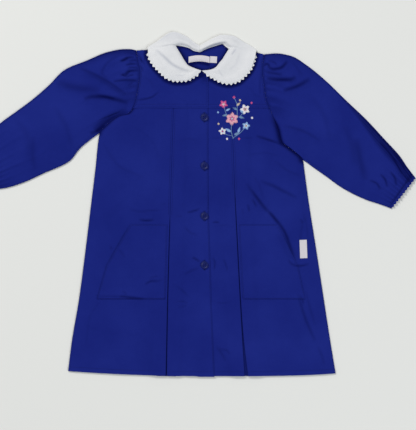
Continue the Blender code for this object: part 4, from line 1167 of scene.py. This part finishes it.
def makePocket(side):
    bottom, mouthLow, top = (pockets[name] for name in ("bottom", "mouthLow", "top"))
    levels = np.linspace(top, bottom, int((top - bottom) / pockets["step"]))
    rows, paintedShades = [], []
    for level in levels:
        edge = np.interp(level, (bottom, mouthLow, top), pockets["reach"][side])
        inner = pleatOut(side, level) + pockets["fromPleat"]
        outs = mix(edge, inner, np.linspace(0, 1, pockets["across"]))
        ys = np.full_like(outs, level)
        height, paintedShade = frontHeight(side, outs, ys, hem=False)
        opened = ease(level, mouthLow - 4, mouthLow + 26) * fall(level, top - 30, top - 4)
        gape = pockets["gape"][side] * opened * bell(edge - outs, pockets["gapeReach"])
        held = np.minimum(np.minimum(level - bottom, top - level), outs - inner)
        lifted = pockets["puff"] * ease(held, 2.0, 30.0) - pockets["sewn"] * fall(held, 0.0, 3.0)
        height = height + body["layer"] + lifted + gape
        # painted shade along the pocket's sewn edges
        atBottom, atTop, atSides = pockets["edgeShade"][side]
        shown = np.where(ys < bottom + 3, atBottom, np.where(ys > top - 3, atTop, atSides))
        paintedShade = paintedShade * 0.8 + shown * bell(held, 1.4)
        rows.append(joined(outward[side] * outs, ys, height))
        paintedShades.append(paintedShade)
    pocket = makeShell(f"{side}Pocket", rows, body["wall"], clothFinish, paintedShades)
    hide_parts(f"pocket_{side}")


labels = {
    "neckLabel": {
        "node": "neck_label", "middle": (-9.8, 632.0), "size": (42.0, 12.0), "tilt": 0.0, "arch": 3.0,
        "on": ["backPanel"], "lift": 1.5, "bow": 2.2, "cut": (0.043, 0.012),
    },
    "sizeLabel": {
        "node": "size_label", "middle": (18.9, 632.5), "size": (13.8, 13.0), "tilt": -0.06, "arch": 0.0,
        "on": ["backPanel"], "lift": 1.4, "bow": 0.5, "cut": (0.0140, 0.013),
    },
    "sideLabel": {
        "node": "side_label", "middle": (198.6, 254.0), "size": (14.4, 36.6), "tilt": 0.035, "arch": 0.0,
        "on": ["leftFront", "leftPocket"], "lift": 0.75, "bow": 0.7, "cut": (0.0145, 0.037),
    },
}


tape = {"wall": 0.6, "rows": 15, "across": 25, "ripple": 0.15}


def onLabel(facts, x, y):
    # where a point of the label lies once the label is turned by its tilt
    turn = facts["tilt"]
    return (
        facts["middle"][0] + x * math.cos(turn) - y * math.sin(turn),
        facts["middle"][1] + x * math.sin(turn) + y * math.cos(turn),
    )


def makeLabel(name):
    facts = labels[name]
    wide, high = facts["size"]
    rows = []
    for up in np.linspace(0.5, -0.5, tape["rows"]):
        row = []
        for across in np.linspace(-0.5, 0.5, tape["across"]):
            arched = facts["arch"] * (1 - 4 * across * across)
            spot = onLabel(facts, across * wide, up * high + arched)
            bow = facts["bow"] * (1 - 4 * up * up) * (1 - abs(across))
            bow = max(bow + tape["ripple"] * math.sin(9 * across), 0.0)
            row.append((*spot, topOf(*spot, facts["on"]) + facts["lift"] * 0.5 + bow))
        rows.append(row)
    label = makeShell(name, rows, tape["wall"], labelFinish)
    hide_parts(facts["node"])


buttons = {
    "heights": (517.0, 420.0, 320.0, 222.0), "out": 1.0, "radius": 7.7, "thick": 2.5, "dish": 0.7,
    "dishRings": [(0.74, 0.05), (0.66, 0.35), (0.56, 0.665), (0.3, 0.7)],  # share of the radius, depth
    "round": 0.9, "crown": 0.8, "above": 0.25, "hole": 0.85, "spread": 1.9, "segments": 56,
    "pegSides": 20, "pegEnds": (-6.0, 10.0), "sharp": 35, "thread": 0.6, "threadShift": 0.3,
    "colour": (0.0030, 0.0075, 0.085), "roughness": 0.30, "specular": 0.22,
    "slot": {"half": 10.5, "step": 0.75, "inner": 0.35, "outer": 1.7, "thread": 0.7},  # buttonhole
}


def buttonFinish():
    finish, tree, shader = startFinish("blueButton", buttons["specular"])
    swirl = addTexture(tree, "ShaderNodeTexNoise", Scale=160.0, Detail=3.0, Distortion=1.4)
    dark, pale = ([share * c for c in buttons["colour"]] for share in (0.75, 1.7))
    twoColours(tree, swirl, dark, pale, shader.inputs["Base Color"])
    gloss = buttons["roughness"]
    scaleInto(tree, swirl.outputs["Fac"], gloss, gloss + 0.16, shader.inputs["Roughness"])
    return finish


def makeButton(number, finish, cutter):
    # turned profile with a rounded rim and a dished face, then four thread holes are bored
    radius, thick, segments = buttons["radius"], buttons["thick"], buttons["segments"]
    x, y = buttons["out"], buttons["heights"][number - 1]
    base = topOf(x, y, ["rightFront"]) + buttons["above"]
    low, high = buttons["round"], buttons["crown"]
    profile = [
        (radius - low + low * math.sin(a), low - low * math.cos(a)) for a in np.linspace(0, math.pi / 2, 5)
    ]
    profile += [
        (radius - high + high * math.cos(a), thick - high + high * math.sin(a))
        for a in np.linspace(0.2, math.pi / 2, 6)
    ]
    profile += [(radius * share, thick - depth) for share, depth in buttons["dishRings"]]
    angles = np.linspace(0, 2 * math.pi, segments, endpoint=False)
    points = [(x, y, base)]
    for r, z in profile:
        points += [(x + r * math.cos(a), y + r * math.sin(a), base + z) for a in angles]
    points.append((x, y, base + thick - buttons["dish"]))
    faces = []
    for step in range(segments):
        after = (step + 1) % segments
        faces.append((0, 1 + after, 1 + step))
        for ring in range(len(profile) - 1):
            inner, outer = 1 + ring * segments, 1 + (ring + 1) * segments
            faces.append((inner + step, inner + after, outer + after, outer + step))
        last = 1 + (len(profile) - 1) * segments
        faces.append((last + step, last + after, len(points) - 1))
    button = makeMesh(f"button{number}", points, faces, finish, buttons["sharp"])
    cutter.location = (x / 1000 + shiftX, y / 1000 + shiftY, base / 1000)
    bore = button.modifiers.new("threadHoles", "BOOLEAN")
    bore.operation = "DIFFERENCE"
    bore.solver = "EXACT"
    bore.object = cutter
    bpy.context.view_layer.update()
    settled = button.evaluated_get(bpy.context.evaluated_depsgraph_get())
    bored = bpy.data.meshes.new_from_object(settled)
    button.modifiers.clear()
    button.data = bored
    bored.set_sharp_from_angle(angle=math.radians(buttons["sharp"]))
    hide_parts(f"button_{number}")
    return base


def makePegs():
    # four round pegs that bore a button's thread holes
    points, faces, sides = [], [], buttons["pegSides"]
    for x, y in ((-1, -1), (-1, 1), (1, -1), (1, 1)):
        start = len(points)
        for z in buttons["pegEnds"]:
            for a in np.linspace(0, 2 * math.pi, sides, endpoint=False):
                points.append((
                    x * buttons["spread"] + buttons["hole"] * math.cos(a),
                    y * buttons["spread"] + buttons["hole"] * math.sin(a), z,
                ))
        faces.append(tuple(range(start + sides - 1, start - 1, -1)))
        faces.append(tuple(range(start + sides, start + 2 * sides)))
        for step in range(sides):
            after = (step + 1) % sides
            faces.append((start + step, start + after, start + sides + after, start + sides + step))
    mesh = bpy.data.meshes.new("holePegs")
    mesh.from_pydata((np.array(points) / 1000).tolist(), [], faces)
    pegs = bpy.data.objects.new("holePegs", mesh)
    bpy.context.scene.collection.objects.link(pegs)
    return pegs


# Threads: each is a short rounded bar that dips into the cloth at both ends

def layThreads(name, threads, finish):
    # threads: rows of three points and a width, in millimetres
    paths = np.array([thread[:3] for thread in threads], float)
    widths = np.array([thread[3] for thread in threads], float)
    ahead = paths[:, 2, :2] - paths[:, 0, :2]
    ahead /= np.maximum(np.linalg.norm(ahead, axis=1), 1e-6)[:, None]
    beside = joined(-ahead[:, 1], ahead[:, 0], np.zeros(len(ahead)))
    points, around = [], 6
    for ring, size in ((0, 0.55), (1, 1.0), (2, 0.55)):
        for step in range(around):
            angle = 2 * math.pi * step / around
            shift = beside * (size * 0.5 * widths * math.cos(angle))[:, None]
            shift[:, 2] += size * 0.34 * widths * math.sin(angle)
            points.append(paths[:, ring] + shift)
    ends = np.concatenate([ahead, np.zeros((len(ahead), 1))], axis=1) * (0.35 * widths)[:, None]
    points.append(paths[:, 0] - ends - [0, 0, 0.1])
    points.append(paths[:, 2] + ends - [0, 0, 0.1])
    stacked = np.stack(points, axis=1)
    perThread = stacked.shape[1]
    faces = []
    for step in range(around):
        after = (step + 1) % around
        for ring in (0, 1):
            low = ring * around
            faces.append((low + step, low + around + step, low + around + after, low + after))
        faces.append((perThread - 2, step, after))
        faces.append((perThread - 1, 2 * around + after, 2 * around + step))
    allFaces = []
    for index in range(len(threads)):
        start = index * perThread
        allFaces += [tuple(start + corner for corner in face) for face in faces]
    piece = makeMesh(name, stacked.reshape(-1, 3), allFaces, finish, 80)
    return piece


def stitchAlong(line, names, stitch=2.5, gap=0.8, width=0.6, lift=0.12):
    # running stitches along a line, lying on the named pieces
    line = np.asarray(line, float)
    total = lineLengths(line)[-1]
    threads = []
    for start in np.arange(gap / 2, total - stitch, stitch + gap):
        spots = alongLine(line, np.array([start, start + stitch / 2, start + stitch]) / total)
        heights = [topOf(*spot, names) for spot in spots]
        if None in heights:
            continue
        lifts = (lift * 0.3, lift + 0.08, lift * 0.3)
        threads.append([(*spot, z + up) for spot, z, up in zip(spots, heights, lifts)] + [width])
    return threads


stitching = {
    "hemAbove": 9.5, "lapInside": 2.4, "yokeAbove": (3.0, 8.5), "pocketInside": 1.8, "pleatBeside": 3.52,
    "hemEnd": {"right": -19.0, "left": 14.0}, "yokeEnd": {"right": -7.0, "left": 10.0},
    "collarInside": 2.6, "casingInside": 10.0, "armholeInside": 3.4, "labelInside": 0.9,
}


def sewSmock():
    facts = stitching
    seams = {f"{kind}Stitching": [] for kind in ("hem", "lap", "yoke", "armhole", "pleat", "pocket")}
    hemY, inset = facts["hemAbove"], facts["pocketInside"]
    for side, way in outward.items():
        front, yoke = f"{side}Front", f"{side}Yoke"
        pleat = pleatOut(side, 0.0)
        spans = ((sideOut(side, hemY) - 2.0, pleat + 5.0), (pleat - 5.0, facts["hemEnd"][side]))
        for start, end in spans:
            outs = np.linspace(start, end, 40)
            line = joined(way * outs, hemY + hemRise(side, outs) * 0.94)
            seams["hemStitching"] += stitchAlong(line, [front], stitch=3.0)
        for above in facts["yokeAbove"]:
            y = body["yokeSeam"] + above
            outs = np.linspace(sideOut(side, y) - 2.0, facts["yokeEnd"][side], 30)
            seams["yokeStitching"] += stitchAlong(joined(way * outs, np.full_like(outs, y)), [yoke])
        ys = np.linspace(body["underarm"][side] + 6, body["shoulder"][side] - 3, 80)
        line = joined(way * (sideOut(side, ys) - facts["armholeInside"]), ys)
        seams["armholeStitching"] += stitchAlong(line, [front, yoke])
        ys = np.linspace(body["shut"][side][1] - 2, body["yokeSeam"] - 3, 40)
        for offset in (-facts["pleatBeside"], facts["pleatBeside"]):
            line = joined(way * (pleatOut(side, ys) + offset), ys)
            seams["pleatStitching"] += stitchAlong(line, [front])
        low, high, reach = pockets["bottom"], pockets["top"], pockets["reach"][side]
        beside = pockets["fromPleat"] + inset
        loop = [
            (pleatOut(side, high) + beside, high - inset),
            (pleatOut(side, low) + beside, low + inset), (reach[0] - inset, low + inset),
            (reach[1] - inset, pockets["mouthLow"] - 1), (reach[2] - inset, high - inset),
        ]
        for (x0, y0), (x1, y1) in zip(loop, loop[1:] + loop[:1]):
            line = joined(np.linspace(way * x0, way * x1, 8), np.linspace(y0, y1, 8))
            seams["pocketStitching"] += stitchAlong(line, [f"{side}Pocket"])
    ys = np.linspace(4, 601, 60)
    line = joined(readTable(body["laps"]["right"], ys) - facts["lapInside"], ys)
    seams["lapStitching"] += stitchAlong(line, ["rightFront", "rightYoke"], stitch=2.8)
    for name, threads in seams.items():
        layThreads(name, threads, blueThread)


def sewSleevesAndCollar():
    cuffs, edges = [], []
    for side, way in outward.items():
        top, seam = np.array(sleeves["tops"][side]), np.array(sleeves["seams"][side])
        back = top[-2] - top[-1]
        back = back / np.linalg.norm(back) * stitching["casingInside"]
        points = mix(top[-1] + back, seam[-1] + back, np.linspace(0.05, 0.96, 30)[:, None])
        cuffs += stitchAlong(points * [way, 1.0], [f"{side}Sleeve"], stitch=2.2)
        outer = np.array([row[1] for row in collar["rows"][side] if row[3] is None])
        edge = alongLine(outer, np.linspace(0.05, 0.98, 60))
        fore = np.gradient(edge, axis=0)
        inside = joined(-fore[:, 1], fore[:, 0]) / np.linalg.norm(fore, axis=1)[:, None]
        line = (edge + inside * stitching["collarInside"]) * [way, 1.0]
        edges += stitchAlong(line, [f"{side}Collar"], stitch=2.2, width=0.55)
    layThreads("cuffStitching", cuffs, blueThread)
    layThreads("collarStitching", edges, whiteThread)


def sewLabels():
    # down both ends of the neck's labels, and across the top and foot of the side label
    threads = []
    for name, facts in labels.items():
        wide, high = facts["size"]
        x, y = wide / 2 - stitching["labelInside"], high / 2 - stitching["labelInside"]
        lines = [[(-x, y), (-x, -y)], [(x, y), (x, -y)]]
        if name == "sideLabel":
            lines = [[(-x, y), (x, y)], [(-x, -y), (x, -y)]]
        for line in lines:
            points = [onLabel(facts, x, y + facts["arch"] * (1 - (2 * x / wide) ** 2)) for x, y in line]
            threads += stitchAlong(points, [name], stitch=1.8, gap=0.7, width=0.45)
    layThreads("labelStitching", threads, whiteThread)


def sewButtons(bases):
    # crossed threads in each button, and the worked edges of its buttonhole
    crosses, holes = [], []
    x, reach, slot = buttons["out"], buttons["spread"], buttons["slot"]
    for base, y in zip(bases, buttons["heights"]):
        face = base + buttons["thick"] - buttons["dish"]
        for dx, dy in ((1, 1), (1, -1)):
            for shift in (-buttons["threadShift"], 0.0, buttons["threadShift"]):
                midX, midY = x + shift * dy, y - shift * dx
                crosses.append([
                    (midX - dx * reach, midY - dy * reach, face - 0.4), (midX, midY, face + 0.75),
                    (midX + dx * reach, midY + dy * reach, face - 0.4), buttons["thread"],
                ])
        for step in np.arange(-slot["half"], slot["half"] + 0.1, slot["step"]):
            for way in (-1, 1):
                a, b = (x + way * slot["inner"], y + step), (x + way * slot["outer"], y + step)
                heights = [topOf(*a, ["rightFront"]), topOf(*b, ["rightFront"])]
                middle = ((a[0] + b[0]) / 2, y + step, max(heights) + 0.2)
                holes.append([(*a, heights[0]), middle, (*b, heights[1]), slot["thread"]])
    layThreads("buttonThreads", crosses, blueThread)
    layThreads("buttonholes", holes, blueThread)


# A small embroidered flower sprig on the wearer's left chest
sprig = {
    "colours": {
        "rose": (0.62, 0.10, 0.30), "blush": (0.80, 0.42, 0.50), "milk": (0.85, 0.83, 0.86),
        "sky": (0.30, 0.48, 0.78), "steel": (0.16, 0.27, 0.46), "sand": (0.62, 0.52, 0.42),
    },
    # flower: middle, petal length, petals, petal colours, heart colour
    "flowers": [
        ((56, 514), 13.0, 6, ("blush", "rose"), "milk"),
        ((82, 533), 10.0, 5, ("milk", "blush"), "sand"),
        ((39, 543), 8.5, 5, ("rose", "blush"), "milk"),
        ((84, 500), 8.0, 5, ("sky", "milk"), "sand"),
        ((37, 489), 7.5, 5, ("milk", "sky"), "rose"),
    ],
    "stems": [
        [(58, 474), (54, 492), (56, 514)], [(58, 476), (72, 486), (84, 500)],
        [(56, 480), (46, 482), (37, 489)], [(56, 514), (70, 518), (82, 533)],
        [(56, 514), (44, 524), (39, 543)], [(66, 520), (66, 540), (60, 556)],
    ],
    # leaf: foot, length, direction in degrees, colour
    "leaves": [
        ((54, 488), 13, 150, "sky"), ((60, 482), 13, 20, "steel"), ((68, 486), 12, 72, "sky"),
        ((47, 522), 11, 190, "steel"), ((44, 530), 10, 30, "sky"), ((70, 518), 11, -15, "steel"),
        ((77, 526), 9, 125, "sky"), ((66, 532), 10, 150, "steel"), ((65, 540), 10, 40, "sand"),
    ],
    "buds": [  # middle, size, colour
        ((60, 557), 3.2, "rose"), ((72, 551), 2.6, "sand"), ((95, 546), 2.4, "rose"),
        ((29, 504), 2.4, "sand"), ((96, 516), 2.4, "milk"), ((28, 527), 2.2, "sky"),
        ((70, 474), 2.4, "rose"), ((46, 474), 2.2, "milk"),
    ],
    "leafFullness": 0.42, "petal": (0.86, 0.78), "petalFoot": (0.42, 0.5),  # length, fullness
    "heartThreads": 9, "heartTurn": 2.4, "stemGap": 0.7,
}


def embroider():
    on = ["leftYoke", "leftFront"]
    byColour = {colour: [] for colour in sprig["colours"]}
    chance = np.random.default_rng(8)

    def addThread(colour, start, end, width=0.95, up=0.35):
        middle = ((start[0] + end[0]) / 2, (start[1] + end[1]) / 2)
        heights = [topOf(*spot, on) for spot in (start, middle, end)]
        if None in heights:
            return
        byColour[colour].append([
            (*start, heights[0] + 0.05), (*middle, heights[1] + up), (*end, heights[2] + 0.05), width,
        ])

    def satin(colour, foot, length, direction, fullness):
        # a petal or leaf filled with threads that fan out from its foot
        ahead = np.array([math.cos(direction), math.sin(direction)])
        beside = np.array([-ahead[1], ahead[0]])
        for share in np.linspace(-1, 1, max(5, int(length * fullness * 1.5))):
            start = np.array(foot) + beside * share * length * fullness * 0.22 + ahead * 0.6
            end = np.array(foot) + beside * share * length * fullness * 0.5
            end = end + ahead * length * (1 - 0.42 * share * share) * chance.uniform(0.95, 1.03)
            addThread(colour, start, end)

    for stem in sprig["stems"]:
        for shift in (0.0, sprig["stemGap"]):
            points = alongLine(stem, np.linspace(0, 1, 14)) + [shift, 0.0]
            for start, end in zip(points, points[1:]):
                addThread("steel", start, end, 0.9, 0.25)
    for foot, length, degrees, colour in sprig["leaves"]:
        satin(colour, foot, length, math.radians(degrees), sprig["leafFullness"])
    for middle, length, petals, colours, heart in sprig["flowers"]:
        first = chance.uniform(0, 1)
        for petal in range(petals):
            direction = first + 2 * math.pi * petal / petals
            foot = np.array(middle) + length * 0.16 * np.array([math.cos(direction), math.sin(direction)])
            for colour, (share, fullness) in zip(colours, (sprig["petal"], sprig["petalFoot"])):
                satin(colour, foot, length * share, direction, fullness)
        for step in range(sprig["heartThreads"]):
            angle, away = step * sprig["heartTurn"], 0.528 * math.sqrt(step)
            spot = np.array(middle) + away * np.array([math.cos(angle), math.sin(angle)])
            addThread(heart, spot - [0.7, 0], spot + [0.7, 0], 1.2, 0.9)
    for middle, size, colour in sprig["buds"]:
        for step in np.linspace(-1, 1, 6):
            half = size * math.sqrt(max(0.05, 1 - step * step))
            spot = np.array(middle) + [step * size * 0.8, 0]
            addThread(colour, spot - [0, half], spot + [0, half])
    for colour, threads in byColour.items():
        finish = threadFinish(f"{colour}Silk", sprig["colours"][colour])
        layThreads(f"sprig{colour.capitalize()}", threads, finish)


setStage()
makeBack()
print("back panel laid")
for side in outward:
    makeFront(side)
    makeYoke(side)
    print(side, "front and yoke laid")
for side in outward:
    makeSleeve(side)
    print(side, "sleeve set in")
for side in outward:
    makeCollar(side)
    makeBraid(side)
    makePocket(side)
    print(side, "collar, braid and pocket sewn on")
for name in labels:
    makeLabel(name)
print("labels laid")
buttonBlue = buttonFinish()
pegs = makePegs()
bases = [makeButton(number, buttonBlue, pegs) for number in range(1, 5)]
bpy.data.objects.remove(pegs, do_unlink=True)
print("buttons turned and bored")
sewSmock()
sewSleevesAndCollar()
sewLabels()
sewButtons(bases)
print("seams sewn")
embroider()
print("sprig embroidered")
